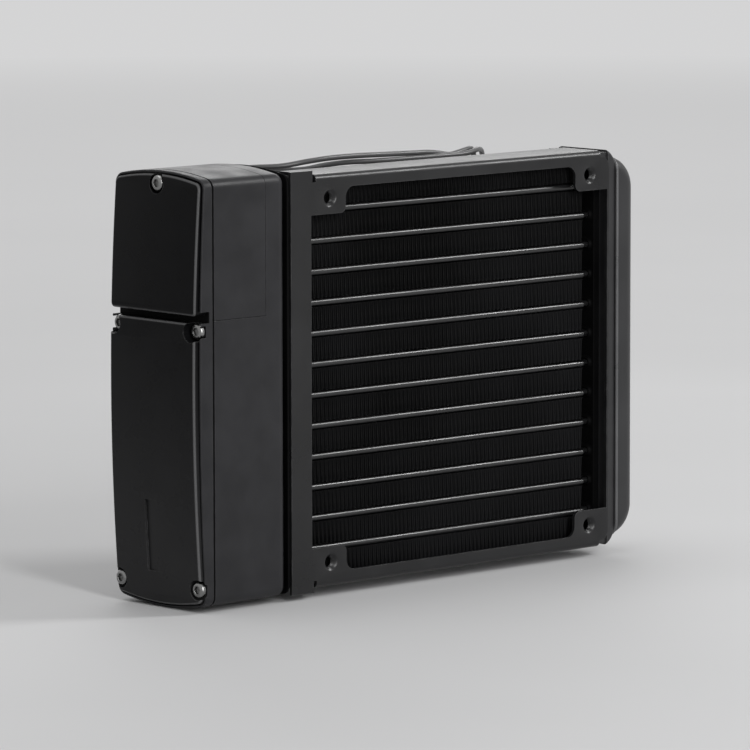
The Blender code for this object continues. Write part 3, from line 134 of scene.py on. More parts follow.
CUP_WELL = 0.0066

AXES = {
    "X": lambda u, v, w: (w, u, v),
    "Y": lambda u, v, w: (u, w, v),
    "Z": lambda u, v, w: (u, v, w),
}


# Camera


def look_from(place, forward, roll, lens):
    data = bpy.data.cameras.new("camera")
    data.lens = lens
    data.sensor_width = 36
    data.clip_end = 100
    camera = bpy.data.objects.new("camera", data)
    bpy.context.scene.collection.objects.link(camera)
    aim = Vector(forward).to_track_quat("-Z", "Y").to_matrix().to_4x4()
    camera.matrix_world = Matrix.Translation(place) @ aim @ Matrix.Rotation(roll, 4, "Z")
    bpy.context.scene.camera = camera


CAMERA_PLACE = (-1.2056, -1.2930, 0.2751)
CAMERA_FORWARD = (0.6785, 0.7245, -0.1217)
CAMERA_ROLL = math.radians(-0.1)
CAMERA_LENS = 291.26
look_from(CAMERA_PLACE, CAMERA_FORWARD, CAMERA_ROLL, CAMERA_LENS)


# Outlines and mesh helpers

SHARP = 30


def arc(centre, radius, start, end, steps):
    """Points along an arc, both ends with it, from one angle in degrees to another."""
    turns = [math.radians(start + (end - start) * i / steps) for i in range(steps + 1)]
    return [(centre[0] + radius * math.cos(t), centre[1] + radius * math.sin(t)) for t in turns]


def circle(centre, radius, steps):
    return arc(centre, radius, 0, 360, steps)[:-1]


def rectangle(left, right, low, high, corner=0.0, steps=5):
    """A rectangle's outline, with round corners where they have a radius."""
    if not corner:
        return [(left, low), (right, low), (right, high), (left, high)]
    middles = (
        ((right - corner, low + corner), 270),
        ((right - corner, high - corner), 0),
        ((left + corner, high - corner), 90),
        ((left + corner, low + corner), 180),
    )
    return [p for middle, start in middles for p in arc(middle, corner, start, start + 90, steps)]


def ring(bm, axis, loop, along):
    """The vertices of an outline, at a place along an axis."""
    return [bm.verts.new(AXES[axis](u, v, along)) for u, v in loop]


def skin(bm, first, second):
    """Faces between two rings. Either may be a single point."""
    if len(first) == 1:
        first, second = second, first
    count = len(first)
    for i in range(count):
        j = (i + 1) % count
        if len(second) == 1:
            bm.faces.new((first[i], first[j], second[0]))
        else:
            bm.faces.new((first[i], first[j], second[j], second[i]))


def skins(bm, rings):
    for first, second in zip(rings, rings[1:]):
        skin(bm, first, second)


def fill(bm, rings):
    """A face across one ring, or triangles between a ring and the rings of its holes."""
    if len(rings) == 1:
        bm.faces.new(rings[0])
        return
    edges = [bm.edges.get((a, b)) for r in rings for a, b in zip(r, r[1:] + r[:1])]
    bmesh.ops.triangle_fill(bm, use_beauty=True, edges=edges)


def slab(bm, axis, low, high, outer, holes=()):
    """A solid between two places along an axis, from an outline and its holes."""
    ends = [[ring(bm, axis, loop, along) for loop in (outer, *holes)] for along in (low, high)]
    for first, second in zip(*ends):
        skin(bm, first, second)
    for rings in ends:
        fill(bm, rings)


def turned(bm, axis, centre, profile, steps=48):
    """Turns a profile of (along, radius). It closes on itself, unless it starts on the axis."""
    rings = []
    for along, radius in profile:
        loop = circle(centre, radius, steps) if radius else [centre]
        rings.append(ring(bm, axis, loop, along))
    skins(bm, rings)
    if len(rings[0]) > 1:
        skin(bm, rings[-1], rings[0])


def eased(profile, radius, steps=3):
    """Rounds every corner of an open profile of points, apart from those that lie on the axis."""
    made = []
    count = len(profile)
    for i, point in enumerate(profile):
        before, after = profile[i - 1], profile[(i + 1) % count]
        here = Vector(point)
        back, on = Vector(before) - here, Vector(after) - here
        if point[1] == 0:
            made.append(point)
            continue
        reach = min(radius, back.length / 2.2, on.length / 2.2)
        start, end = here + back.normalized() * reach, here + on.normalized() * reach
        for k in range(steps + 1):
            t = k / steps
            spot = start * (1 - t) ** 2 + here * 2 * t * (1 - t) + end * t**2
            made.append(tuple(spot))
    return made


def mesh_of(name, bm, sharp=SHARP):
    """The mesh, smooth apart from the edges that turn more than an angle in degrees."""
    bmesh.ops.recalc_face_normals(bm, faces=bm.faces)
    mesh = bpy.data.meshes.new(name)
    bm.to_mesh(mesh)
    bm.free()
    mesh.shade_smooth()
    mesh.set_sharp_from_angle(angle=math.radians(sharp))
    return mesh


def holder(name, mesh):
    obj = bpy.data.objects.new(name, mesh)
    bpy.context.scene.collection.objects.link(obj)
    return obj


def settled(obj):
    """The object's mesh with its modifiers applied. The object goes."""
    graph = bpy.context.evaluated_depsgraph_get()
    mesh = bpy.data.meshes.new_from_object(obj.evaluated_get(graph))
    for modifier in list(obj.modifiers):
        obj.modifiers.remove(modifier)
    bpy.data.objects.remove(obj)
    return mesh


def cut(mesh, *tools):
    """Takes tool meshes out of a mesh."""
    obj = holder("cut", mesh)
    others = []
    for tool in tools:
        others.append(holder("tool", tool))
        others[-1].hide_render = True
        made = obj.modifiers.new("cut", "BOOLEAN")
        made.operation = "DIFFERENCE"
        made.solver = "EXACT"
        made.object = others[-1]
    result = settled(obj)
    for other in others:
        bpy.data.objects.remove(other)
    result.shade_smooth()
    result.set_sharp_from_angle(angle=math.radians(SHARP))
    return result


def piece(name, mesh, finish, nodes=(), edge=0.0, segments=2):
    """Puts a finished mesh into the shared frame as a piece that rides with the cooler."""
    mesh.transform(Matrix.Translation(ORIGIN))
    if not mesh.materials:
        mesh.materials.append(finish)
    obj = holder(name, mesh)
    if edge:
        bevel = obj.modifiers.new("eased_edges", "BEVEL")
        bevel.width = edge
        bevel.segments = segments
        bevel.limit_method = "ANGLE"
        bevel.angle_limit = math.radians(35)
        bevel.use_clamp_overlap = True
        bevel.miter_outer = "MITER_ARC"
        bevel.harden_normals = True
    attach(obj, "cooler")
    if nodes:
        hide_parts(*nodes)
    return obj


# Material node graphs


class Graph:
    """Adds nodes to a tree. A value is a number, a tuple or another node's output."""

    def __init__(self, tree):
        self.tree = tree

    def node(self, kind, values=None, **settings):
        made = self.tree.nodes.new(kind)
        for key, value in settings.items():
            setattr(made, key, value)
        for key, value in (values or {}).items():
            socket = made.inputs[key]
            if isinstance(value, bpy.types.NodeSocket):
                self.tree.links.new(value, socket)
            else:
                socket.default_value = value
        return made

    def maths(self, operation, *values):
        made = self.node("ShaderNodeMath", dict(enumerate(values)), operation=operation)
        return made.outputs[0]

    def noise(self, vector, scale, detail=3.0, roughness=0.55):
        values = {"Vector": vector, "Scale": scale, "Detail": detail, "Roughness": roughness}
        return self.node("ShaderNodeTexNoise", values).outputs["Fac"]

    def span(self, value, low, high, to_low=0.0, to_high=1.0):
        values = {"Value": value, "From Min": low, "From Max": high}
        values.update({"To Min": to_low, "To Max": to_high})
        return self.node("ShaderNodeMapRange", values).outputs["Result"]

    def mix(self, share, first, second):
        made = self.node("ShaderNodeMix", {0: share, 6: first, 7: second}, data_type="RGBA")
        return made.outputs[2]


def group(name, inputs, outputs):
    """An empty shader node group: its graph, its inputs and the sockets of its outputs."""
    tree = bpy.data.node_groups.new(name, "ShaderNodeTree")
    for label, kind, value in inputs:
        socket = tree.interface.new_socket(label, in_out="INPUT", socket_type=kind)
        if value is not None:
            socket.default_value = value
    for label in outputs:
        tree.interface.new_socket(label, in_out="OUTPUT", socket_type="NodeSocketFloat")
    graph = Graph(tree)
    return graph, graph.node("NodeGroupInput").outputs, graph.node("NodeGroupOutput").inputs


def fine_grain():
    """Height of a fine moulded or sprayed grain, and a broad, soft mottle."""
    inputs = [("Vector", "NodeSocketVector", None), ("Scale", "NodeSocketFloat", 3000.0)]
    graph, given, out = group("fine_grain", inputs, ("Height", "Mottle"))
    coarse = graph.noise(given["Vector"], given["Scale"], 2.0)
    finer = graph.noise(given["Vector"], graph.maths("MULTIPLY", given["Scale"], 2.9), 2.0)
    height = graph.maths("MULTIPLY_ADD", coarse, 0.65, graph.maths("MULTIPLY", finer, 0.35))
    broad = graph.noise(given["Vector"], graph.maths("MULTIPLY", given["Scale"], 0.022), 3.0)
    graph.tree.links.new(height, out["Height"])
    graph.tree.links.new(graph.span(broad, 0.34, 0.66), out["Mottle"])
    return graph.tree


def edge_wear():
    """A mask along edges, broken up so that only parts of an edge are worn."""
    inputs = [("Vector", "NodeSocketVector", None), ("Radius", "NodeSocketFloat", 0.0004)]
    graph, given, out = group("edge_wear", inputs, ("Mask",))
    rounded = graph.node("ShaderNodeBevel", {"Radius": given["Radius"]}, samples=4)
    straight = graph.node("ShaderNodeNewGeometry").outputs["Normal"]
    values = {0: rounded.outputs[0], 1: straight}
    turn = graph.node("ShaderNodeVectorMath", values, operation="DOT_PRODUCT").outputs["Value"]
    edge = graph.span(turn, 0.995, 0.86)
    broken = graph.span(graph.noise(given["Vector"], 260.0, 5.0, 0.7), 0.42, 0.62)
    graph.tree.links.new(graph.maths("MULTIPLY", edge, broken), out["Mask"])
    return graph.tree


def bands():
    """Parallel ridges at a pitch along one direction, as height and as a mask of the gaps."""
    inputs = [
        ("Vector", "NodeSocketVector", None),
        ("Direction", "NodeSocketVector", (1.0, 0.0, 0.0)),
        ("Pitch", "NodeSocketFloat", 0.001),
        ("Wander", "NodeSocketFloat", 0.0),
    ]
    graph, given, out = group("bands", inputs, ("Height", "Gaps"))
    values = {0: given["Vector"], 1: given["Direction"]}
    along = graph.node("ShaderNodeVectorMath", values, operation="DOT_PRODUCT").outputs["Value"]
    drift = graph.span(graph.noise(given["Vector"], 900.0), 0.0, 1.0, -1.0, 1.0)
    along = graph.maths("MULTIPLY_ADD", drift, given["Wander"], along)
    turns = graph.maths("DIVIDE", along, given["Pitch"])
    wave = graph.maths("PINGPONG", turns, 0.5)
    height = graph.maths("SMOOTH_MIN", graph.maths("MULTIPLY", wave, 4.0), 1.0, 0.5)
    graph.tree.links.new(height, out["Height"])
    graph.tree.links.new(graph.span(wave, 0.12, 0.02), out["Gaps"])
    return graph.tree


GRAIN = fine_grain()
WEAR = edge_wear()
BANDS = bands()


def finish(name, colour, rough, metal=0.0, grain=3000.0, bump=0.25, lift=1.35, spread=0.06,
           rubbed_and_highlight=None, radius=0.0004, wear=0.0, highlight_facing=None, painted_foot_reflection=None, ridges=None, coat=0.0,
           gloss=0.5):
    """A finish with grain, mottled colour and roughness and, where asked, worn edges, painted edge
    highlights, a painted reflection at the foot and ridges.

    With a facing direction, the rounds that turn partly away from it take the rubbed colour too, as
    a painted highlight. With a colour and two heights, a painted reflection of the pale floor
    lightens the colour from the first height down to the second.
    Ridges are a direction, a pitch, how far they wander, how dark their gaps are, and their depth.
    """
    made = bpy.data.materials.new(name)
    made.use_nodes = True
    graph = Graph(made.node_tree)
    shader = made.node_tree.nodes["Principled BSDF"]
    place = graph.node("ShaderNodeTexCoord").outputs["Object"]
    values = {"Vector": place, "Scale": grain}
    grains = graph.node("ShaderNodeGroup", values, node_tree=GRAIN)
    height, mottle = grains.outputs["Height"], grains.outputs["Mottle"]
    lighter = tuple(min(channel * lift, 1.0) for channel in colour)
    shade = graph.mix(mottle, (*colour, 1), (*lighter, 1))
    roughness = graph.span(mottle, 0.0, 1.0, rough - spread, rough + spread)
    if ridges:
        direction, pitch, wander, dark, depth = ridges
        values = {"Vector": place, "Direction": direction, "Pitch": pitch, "Wander": wander}
        rows = graph.node("ShaderNodeGroup", values, node_tree=BANDS)
        darker = tuple(channel * dark for channel in colour)
        shade = graph.mix(rows.outputs["Gaps"], shade, (*darker, 1))
        height = graph.maths("MULTIPLY_ADD", rows.outputs["Height"], depth, height)
    # Painted reflection: the colour lightens towards the foot, standing for the pale floor mirrored
    # in the lower part of the piece.
    if painted_foot_reflection:
        reflection_tone, high, low = painted_foot_reflection
        level = graph.node("ShaderNodeSeparateXYZ", {0: place}).outputs["Z"]
        patches = graph.span(graph.noise(place, 28.0), 0.3, 0.7, 0.8, 1.0)
        share = graph.maths("MULTIPLY", graph.span(level, high, low, 0.0, 0.75), patches)
        shade = graph.mix(share, shade, (*reflection_tone, 1))
    if rubbed_and_highlight:
        values = {"Vector": place, "Radius": radius}
        worn = graph.node("ShaderNodeGroup", values, node_tree=WEAR)
        mask = graph.maths("MULTIPLY", worn.outputs["Mask"], wear)
        # Painted highlight: rounds turned partly away from the facing direction are lightened to
        # the rubbed colour, standing for light the edge catches.
        if highlight_facing:
            across = graph.node("ShaderNodeTexCoord").outputs["Normal"]
            turned_to = graph.node("ShaderNodeVectorMath", {0: across, 1: highlight_facing},
                                   operation="DOT_PRODUCT").outputs["Value"]
            painted_highlight = graph.maths("MINIMUM", graph.span(turned_to, 0.94, 0.8, 0.0, 0.3),
                                 graph.span(turned_to, 0.15, 0.4, 0.0, 0.3))
            mask = graph.maths("MAXIMUM", mask, painted_highlight)
        shade = graph.mix(mask, shade, (*rubbed_and_highlight, 1))
        roughness = graph.maths("MULTIPLY_ADD", mask, -0.12, roughness)
    relief = {"Height": height, "Strength": bump, "Distance": 0.00008}
    normal = graph.node("ShaderNodeBump", relief).outputs["Normal"]
    made.node_tree.links.new(shade, shader.inputs["Base Color"])
    made.node_tree.links.new(roughness, shader.inputs["Roughness"])
    made.node_tree.links.new(normal, shader.inputs["Normal"])
    shader.inputs["Metallic"].default_value = metal
    shader.inputs["Specular IOR Level"].default_value = gloss
    shader.inputs["Coat Weight"].default_value = coat
    shader.inputs["Coat Roughness"].default_value = 0.25
    return made


BARE = (0.11, 0.11, 0.112)
ACROSS = (1.0, 0.0, 0.0)
INTO = (0.0, 1.0, 0.0)

sheet_paint = finish("satin_painted_sheet", (0.0105, 0.0105, 0.011), 0.33, grain=2600.0,
                     rubbed_and_highlight=BARE, wear=0.6, gloss=0.32)
header_paint = finish("painted_header", (0.019, 0.019, 0.020), 0.36, grain=2300.0,
                      rubbed_and_highlight=BARE, wear=0.5, gloss=0.35)
# The bead's grey, far lighter than the tank's paint, is a painted highlight along the tank's joint.
bead_highlight_paint = finish("bead_highlight_grey", (0.075, 0.075, 0.077), 0.32, grain=2300.0)
core_paint = finish("satin_painted_core", (0.007, 0.007, 0.0075), 0.42, grain=2400.0,
                    rubbed_and_highlight=BARE, wear=0.4, gloss=0.2)
# Painted shade: a near-black for parts that sit in shadow, the header plate, the left flange, the
# brazes and the channel's floor.
painted_shade_black = finish("painted_shade_black", (0.0016, 0.0016, 0.0017), 0.6, grain=2400.0, lift=1.8,
                    gloss=0.05)
tube_paint = finish("painted_tube", (0.006, 0.006, 0.0063), 0.31, grain=1800.0, rubbed_and_highlight=BARE,
                    radius=0.0003, wear=0.06, gloss=0.55)
# The fins' black is set far darker than the core's paint: their own black plus painted shade deep
# between the tubes.
fin_black_and_shade = finish("black_fin_stock", (0.0011, 0.0011, 0.0012), 0.45, grain=620.0, lift=8.0,
                   bump=0.4, gloss=0.06, ridges=(INTO, 0.00115, 0.00008, 0.35, 1.2))
housing_black = finish("moulded_black", (0.0165, 0.0165, 0.018), 0.42, grain=4200.0, bump=0.3,
                       rubbed_and_highlight=BARE, wear=0.35, gloss=0.2)
# The cover's light rubbed colour is its wear and also a painted highlight along its rounded edges;
# towards its foot a painted reflection of the floor lightens it.
cover_black = finish("satin_cover", (0.0032, 0.0032, 0.0036), 0.30, grain=5200.0, bump=0.16,
                     rubbed_and_highlight=(0.30, 0.30, 0.305), radius=0.0003, wear=0.35, highlight_facing=(-1.0, 0.0, 0.0),
                     painted_foot_reflection=((0.036, 0.036, 0.037), 0.084, 0.014), gloss=0.08)
screw_steel = finish("bright_screw_steel", (0.25, 0.25, 0.248), 0.30, metal=1.0, grain=5000.0,
                     lift=1.15, bump=0.15, ridges=(ACROSS, 0.00013, 0.00002, 0.8, 0.3))
seal_rubber = finish("seal_rubber", (0.004, 0.004, 0.004), 0.82, grain=2600.0, bump=0.5,
                     gloss=0.1)
stator_iron = finish("laminated_iron", (0.33, 0.33, 0.34), 0.5, metal=1.0, lift=1.15,
                     ridges=(ACROSS, 0.0005, 0.0, 0.35, 1.5))
coil_copper = finish("enamelled_winding", (0.55, 0.24, 0.10), 0.33, metal=1.0, lift=1.1,
                     bump=0.8, ridges=(ACROSS, 0.00042, 0.00003, 0.3, 2.5), coat=0.5)
board_green = finish("green_board", (0.018, 0.15, 0.065), 0.42, lift=1.25, grain=2500.0,
                     ridges=((0.0, 0.6, 0.8), 0.0011, 0.0, 0.6, 0.6), coat=0.3)
pump_plastic = finish("grey_pump_moulding", (0.10, 0.10, 0.11), 0.46, grain=3600.0, lift=1.2,
                      bump=0.3)
bush_carbon = finish("bush_carbon", (0.05, 0.05, 0.055), 0.36, grain=6000.0, bump=0.35)
shaft_ceramic = finish("ground_ceramic", (0.78, 0.77, 0.74), 0.2, grain=7000.0, lift=1.05,
                       bump=0.1)
magnet_ferrite = finish("dark_ferrite", (0.10, 0.10, 0.105), 0.55, grain=3000.0, bump=0.5)
wire_sheath = finish("wire_sheath", (0.060, 0.060, 0.061), 0.36, grain=3000.0, lift=1.25,
                     bump=0.2)
connector_nylon = finish("black_nylon", (0.018, 0.018, 0.019), 0.42, grain=3400.0, bump=0.3,
                         rubbed_and_highlight=BARE, wear=0.3)


# Pump lead: two loose wires from the gland over the frame's top, down behind it and to the floor

ANCHORS = {
    "gland": (GLAND_X, HOUSING_DEPTH + GLAND_LENGTH, GLAND_Z),
    "edge": (0, DEPTH, FRAME_HALF),
    "back": (0, DEPTH, 0),
    "floor": (0, DEPTH, FLOOR_Z),
}

WIRE_ROUTES = {
    "lead_wire_1": (
        ("gland", (
            (0.00095, 0.0003, 0), (0.001, 0.0036, 0.0006), (0.0055, 0.0058, 0.0038),
        )),
        ("edge", (
            (-0.061, 0.017, -0.0025), (-0.053, 0.0078, -0.0006), (-0.0455, 0.0014, -0.0001),
            (-0.0385, -0.0018, 0.001), (-0.03, -0.0025, 0.00155), (-0.02, -0.0026, 0.0016),
            (-0.008, -0.0025, 0.0013), (0.004, -0.0023, 0.001), (0.01, -0.0021, 0.0008),
            (0.0145, -0.0018, 0.0003), (0.019, -0.0016, -0.0004), (0.024, -0.0012, 0.0002),
            (0.0285, 0, 0.0007), (0.032, 0.002, 0), (0.0342, 0.0038, -0.0023),
            (0.0352, 0.0046, -0.006),
        )),
        ("back", (
            (0.0362, 0.0044, 0.046), (0.0358, 0.0038, 0.028), (0.0347, 0.0032, 0.004),
            (0.0333, 0.0036, -0.026), (0.0312, 0.0052, -0.048),
        )),
        ("floor", (
            (0.0278, 0.0102, 0.0039), (0.022, 0.019, 0.001), (0.014, 0.0275, 0.00085),
            (0.007, 0.0308, 0.00085), (0.0025, 0.031, 0.0009),
        )),
    ),
    "lead_wire_2": (
        ("gland", (
            (-0.00095, 0.0003, 0), (-0.0009, 0.0038, 0.0002), (0.0025, 0.0086, 0.002),
        )),
        ("edge", (
            (-0.063, 0.022, -0.0049), (-0.054, 0.0125, -0.0023), (-0.046, 0.0045, -0.0016),
            (-0.037, 0.0016, -0.0016), (-0.029, 0.0009, -0.0008), (-0.021, -0.0008, -0.0003),
            (-0.011, -0.0028, -0.0004), (0.004, -0.0035, -0.0004), (0.016, -0.0036, -0.0004),
            (0.022, -0.0035, -0.0004), (0.027, -0.0028, 0), (0.031, -0.001, 0.0004),
            (0.0346, 0.0012, -0.0001), (0.0372, 0.0032, -0.0019), (0.0386, 0.0043, -0.0053),
        )),
        ("back", (
            (0.0399, 0.0042, 0.0455), (0.039, 0.0038, 0.028), (0.0376, 0.0032, 0.004),
            (0.036, 0.0036, -0.026), (0.034, 0.0056, -0.048),
        )),
        ("floor", (
            (0.0308, 0.011, 0.004), (0.0245, 0.0204, 0.001), (0.016, 0.0292, 0.00085),
            (0.008, 0.0327, 0.00085), (0.0025, 0.033, 0.0009),
        )),
    ),
}
WIRE_RADIUS = 0.0008


def route_points(name):
    points = []
    for anchor, steps in WIRE_ROUTES[name]:
        points += [Vector(ANCHORS[anchor]) + Vector(step) for step in steps]
    return points


def smooth_points(knots, spacing):
    """Points at an even spacing along a smooth curve through the knots."""
    ends = [2 * knots[0] - knots[1], *knots, 2 * knots[-1] - knots[-2]]
    fine = [knots[0]]
    for before, start, end, after in zip(ends, ends[1:], ends[2:], ends[3:]):
        for i in range(1, 21):
            t = i / 20
            bend = 2 * before - 5 * start + 4 * end - after
            turn = 3 * start - before - 3 * end + after
            fine.append((2 * start + (end - before) * t + bend * t**2 + turn * t**3) / 2)
    lengths = [0.0]
    for first, second in zip(fine, fine[1:]):
        lengths.append(lengths[-1] + (second - first).length)
    count = round(lengths[-1] / spacing)
    points = []
    at = 0
    for i in range(count + 1):
        target = lengths[-1] * i / count
        while at < len(fine) - 2 and lengths[at + 1] < target:
            at += 1
        share = (target - lengths[at]) / (lengths[at + 1] - lengths[at])
        points.append(fine[at].lerp(fine[at + 1], share))
    return points, lengths[-1]


def lead_wires():
    """The sheaths of both wires, each with its start and its length."""
    wires = []
    for name in WIRE_ROUTES:
        points, length = smooth_points(route_points(name), spacing=0.0018)
        curve = bpy.data.curves.new(name + "_sheath", "CURVE")
        curve.dimensions = "3D"
        curve.bevel_depth = WIRE_RADIUS
        curve.bevel_resolution = 4
        curve.use_fill_caps = True
        spline = curve.splines.new("POLY")
        spline.points.add(len(points) - 1)
        for point, place in zip(spline.points, points):
            point.co = (*(place + ORIGIN), 1)
        curve.materials.append(wire_sheath)
        wire = holder(name + "_sheath", curve)
        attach(wire, "cooler")
        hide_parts(name)
        wires.append((wire, points[0] + ORIGIN, length))
    return wires


def lead_connector():
    """A three-way connector: keyed body, latch, contact windows and three sockets."""
    ends = [route_points(name)[-1] for name in WIRE_ROUTES]
    right = ends[0].x - GAP
    middle = (ends[0].y + ends[1].y) / 2
    left = right - 0.012
    low, high = FLOOR_Z, FLOOR_Z + 0.0058
    half = 0.0039
    side = 0.00035
    top = high - 0.0005
    outline = [
        (middle - half + side, low), (middle + half - side, low),
        (middle + half - side, low + 0.0018), (middle + half, low + 0.0018),
        (middle + half, low + 0.0028), (middle + half - side, low + 0.0028),
        (middle + half - side, top), (middle + 0.0026, top), (middle + 0.0026, high),
        (middle + 0.0019, high), (middle + 0.0019, top), (middle - 0.0019, top),
        (middle - 0.0019, high), (middle - 0.0026, high), (middle - 0.0026, top),
        (middle - half + side, top), (middle - half + side, low + 0.0028),
        (middle - half, low + 0.0028), (middle - half, low + 0.0018),
        (middle - half + side, low + 0.0018),
    ]
    bm = bmesh.new()
    slab(bm, "X", left, right, outline)
    body = mesh_of("connector_body", bm)
    tools = []
    pitch = 0.00254
    for step in (-pitch, 0, pitch):
        y, z = middle + step, low + 0.0026
        for start, end, reach in ((left - 0.001, left + 0.006, 0.00062),
                                  (right - 0.003, right + 0.001, 0.00085)):
            socket = rectangle(y - reach, y + reach, z - reach, z + reach, 0.0001, 2)
            bm = bmesh.new()
            slab(bm, "X", start, end, socket)
            tools.append(mesh_of("socket", bm))
        bm = bmesh.new()
        window = rectangle(left + 0.0034, left + 0.0052, y - 0.0005, y + 0.0005, 0.0001, 2)
        slab(bm, "Z", top - 0.0008, high + 0.001, window)
        tools.append(mesh_of("window", bm))
    body = cut(body, *tools)
    return piece("lead_connector_body", body, connector_nylon,
                 ("lead_connector",), edge=0.00012)


connector = lead_connector()
for wire, start, length in lead_wires():
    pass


# Geometry Nodes trees


class Tree:
    """A Geometry Nodes tree with named inputs."""

    def __init__(self, name, inputs):
        self.tree = bpy.data.node_groups.new(name, "GeometryNodeTree")
        face = self.tree.interface
        face.new_socket("Geometry", in_out="INPUT", socket_type="NodeSocketGeometry")
        for label, kind in inputs:
            face.new_socket(label, in_out="INPUT", socket_type="NodeSocket" + kind)
        face.new_socket("Geometry", in_out="OUTPUT", socket_type="NodeSocketGeometry")
        self.given = self.tree.nodes.new("NodeGroupInput").outputs
        self.graph = Graph(self.tree)

    def end(self, geometry, finish_socket):
        real = self.graph.node("GeometryNodeRealizeInstances", {0: geometry}).outputs[0]
        values = {"Geometry": real, "Material": finish_socket}
        dressed = self.graph.node("GeometryNodeSetMaterial", values).outputs[0]
        out = self.tree.nodes.new("NodeGroupOutput")
        self.tree.links.new(dressed, out.inputs[0])
        return self.tree


def grown(tree, unit, **values):
    """Runs a tree on a unit mesh and gives back its result as a plain mesh."""
    obj = holder("grown", unit)
    modifier = obj.modifiers.new("grown", "NODES")
    modifier.node_group = tree
    for item in tree.interface.items_tree:
        if item.item_type == "SOCKET" and item.in_out == "INPUT" and item.name in values:
            modifier[item.identifier] = values[item.name]
    obj.update_tag()
    return settled(obj)


def row_tree():
    """Repeats the unit in a straight row: a count, a first place and a step."""
    made = Tree("row_of_pieces", (("Count", "Int"), ("First", "Vector"), ("Step", "Vector"),
                                  ("Finish", "Material")))
    given, graph = made.given, made.graph
    values = {"Count": given["Count"], "Start Location": given["First"], "Offset": given["Step"]}
    line = graph.node("GeometryNodeMeshLine", values, mode="OFFSET").outputs[0]
    values = {"Points": line, "Instance": given["Geometry"]}
    placed = graph.node("GeometryNodeInstanceOnPoints", values).outputs[0]
    return made.end(placed, given["Finish"])


def places_tree():
    """Puts the unit at every point of a mesh of places."""
    made = Tree("pieces_at_places", (("Places", "Object"), ("Finish", "Material")))
    given, graph = made.given, made.graph
    places = graph.node("GeometryNodeObjectInfo", {"Object": given["Places"]}).outputs["Geometry"]
    values = {"Points": places, "Instance": given["Geometry"]}
    placed = graph.node("GeometryNodeInstanceOnPoints", values).outputs[0]
    return made.end(placed, given["Finish"])


def fin_tree():
    """Corrugated strips: a line up and down with flat crests, rounded, thickened and repeated."""
    made = Tree("corrugated_strips", (
        ("Crests", "Int"), ("First", "Vector"), ("Half Pitch", "Float"), ("Crest", "Float"),
        ("Height", "Float"), ("Fold Radius", "Float"), ("Sheet", "Float"), ("Depth", "Float"),
        ("Bend", "Float"), ("Strips", "Int"), ("Strip Step", "Float"), ("Finish", "Material"),
    ))
    given, graph = made.given, made.graph
    count = graph.maths("MULTIPLY", given["Crests"], 2.0)
    values = {"Count": count, "Start Location": given["First"], "Offset": (0, 0, 0)}
    line = graph.node("GeometryNodeMeshLine", values, mode="OFFSET").outputs[0]
    index = graph.node("GeometryNodeInputIndex").outputs[0]
    crest = graph.maths("FLOOR", graph.maths("MULTIPLY", index, 0.5))
    far_end = graph.maths("MODULO", index, 2.0)
    across = graph.maths("MULTIPLY", crest, given["Half Pitch"])
    across = graph.maths("MULTIPLY_ADD", far_end, given["Crest"], across)
    high = graph.maths("MULTIPLY", graph.maths("MODULO", crest, 2.0), given["Height"])
    lifted = graph.node("ShaderNodeCombineXYZ", {0: across, 2: high})
    values = {"Geometry": line, "Offset": lifted.outputs[0]}
    zigzag = graph.node("GeometryNodeSetPosition", values).outputs[0]
    path = graph.node("GeometryNodeMeshToCurve", {0: zigzag}).outputs[0]
    values = {"Curve": path, "Count": 2, "Radius": given["Fold Radius"], "Limit Radius": True}
    folded = graph.node("GeometryNodeFilletCurve", values, mode="POLY").outputs[0]
    level = graph.node("GeometryNodeSetCurveNormal", {0: folded}, mode="Z_UP").outputs[0]
    section = graph.node("GeometryNodeCurvePrimitiveQuadrilateral",
                         {"Width": given["Depth"], "Height": given["Sheet"]}).outputs[0]
    values = {"Curve": level, "Profile Curve": section, "Fill Caps": True}
    strip = graph.node("GeometryNodeCurveToMesh", values).outputs[0]
    rise = graph.node("ShaderNodeCombineXYZ", {2: given["Strip Step"]}).outputs[0]
    values = {"Count": given["Strips"], "Offset": rise}
    rows = graph.node("GeometryNodeMeshLine", values, mode="OFFSET").outputs[0]
    values = {"Points": rows, "Instance": strip}
    stack = graph.node("GeometryNodeInstanceOnPoints", values).outputs[0]
    real = graph.node("GeometryNodeRealizeInstances", {0: stack}).outputs[0]
    place = graph.node("GeometryNodeInputPosition").outputs[0]
    values = {"Vector": place, "Scale": 420.0, "Detail": 2.0}
    drift = graph.node("ShaderNodeTexNoise", values).outputs["Fac"]
    shift = graph.maths("MULTIPLY", graph.maths("SUBTRACT", drift, 0.5), given["Bend"])
    values = {"Geometry": real, "Offset": graph.node("ShaderNodeCombineXYZ", {0: shift}).outputs[0]}
    bent = graph.node("GeometryNodeSetPosition", values).outputs[0]
    return made.end(bent, given["Finish"])


ROW = row_tree()
PLACES = places_tree()
STRIPS = fin_tree()


# Folded sheets


def window_loop():
    """The window's outline: a tab with round corners reaches into each of its corners."""
    quarter = [(WINDOW_X, TAB_Z)]
    quarter += arc((TAB_X + 0.002, TAB_Z + 0.002), 0.002, 270, 180, 7)
    quarter += arc((TAB_X - 0.003, WINDOW_Z - 0.003), 0.003, 0, 90, 8)
    loop = []
    for side, end in ((1, 1), (-1, 1), (-1, -1), (1, -1)):
        points = quarter if side * end > 0 else quarter[::-1]
        loop += [(side * x, end * z) for x, z in points]
    return loop


def hole_rings(bm, centre, face_y, into):
    """A dished, threaded hole with the neck behind the sheet, from points of (radius, depth)."""
    profile = [(0.0029, 0), (0.00255, 0.00008), (0.0022, 0.0003), (0.00185, 0.00062)]
    for turn in range(5):
        start = 0.00078 + turn * 0.00028
        profile += [(0.00166, start), (0.00184, start + 0.00014)]
    profile += [(0.0017, 0.00222), (0.0021, 0.00226), (0.0023, 0.0021), (0.00235, 0.0013)]
    profile += [(0.0026, SHEET)]
    rings = [ring(bm, "Y", circle(centre, r, 32), face_y + into * y) for r, y in profile]
    skins(bm, rings)
    return rings[0], rings[-1]


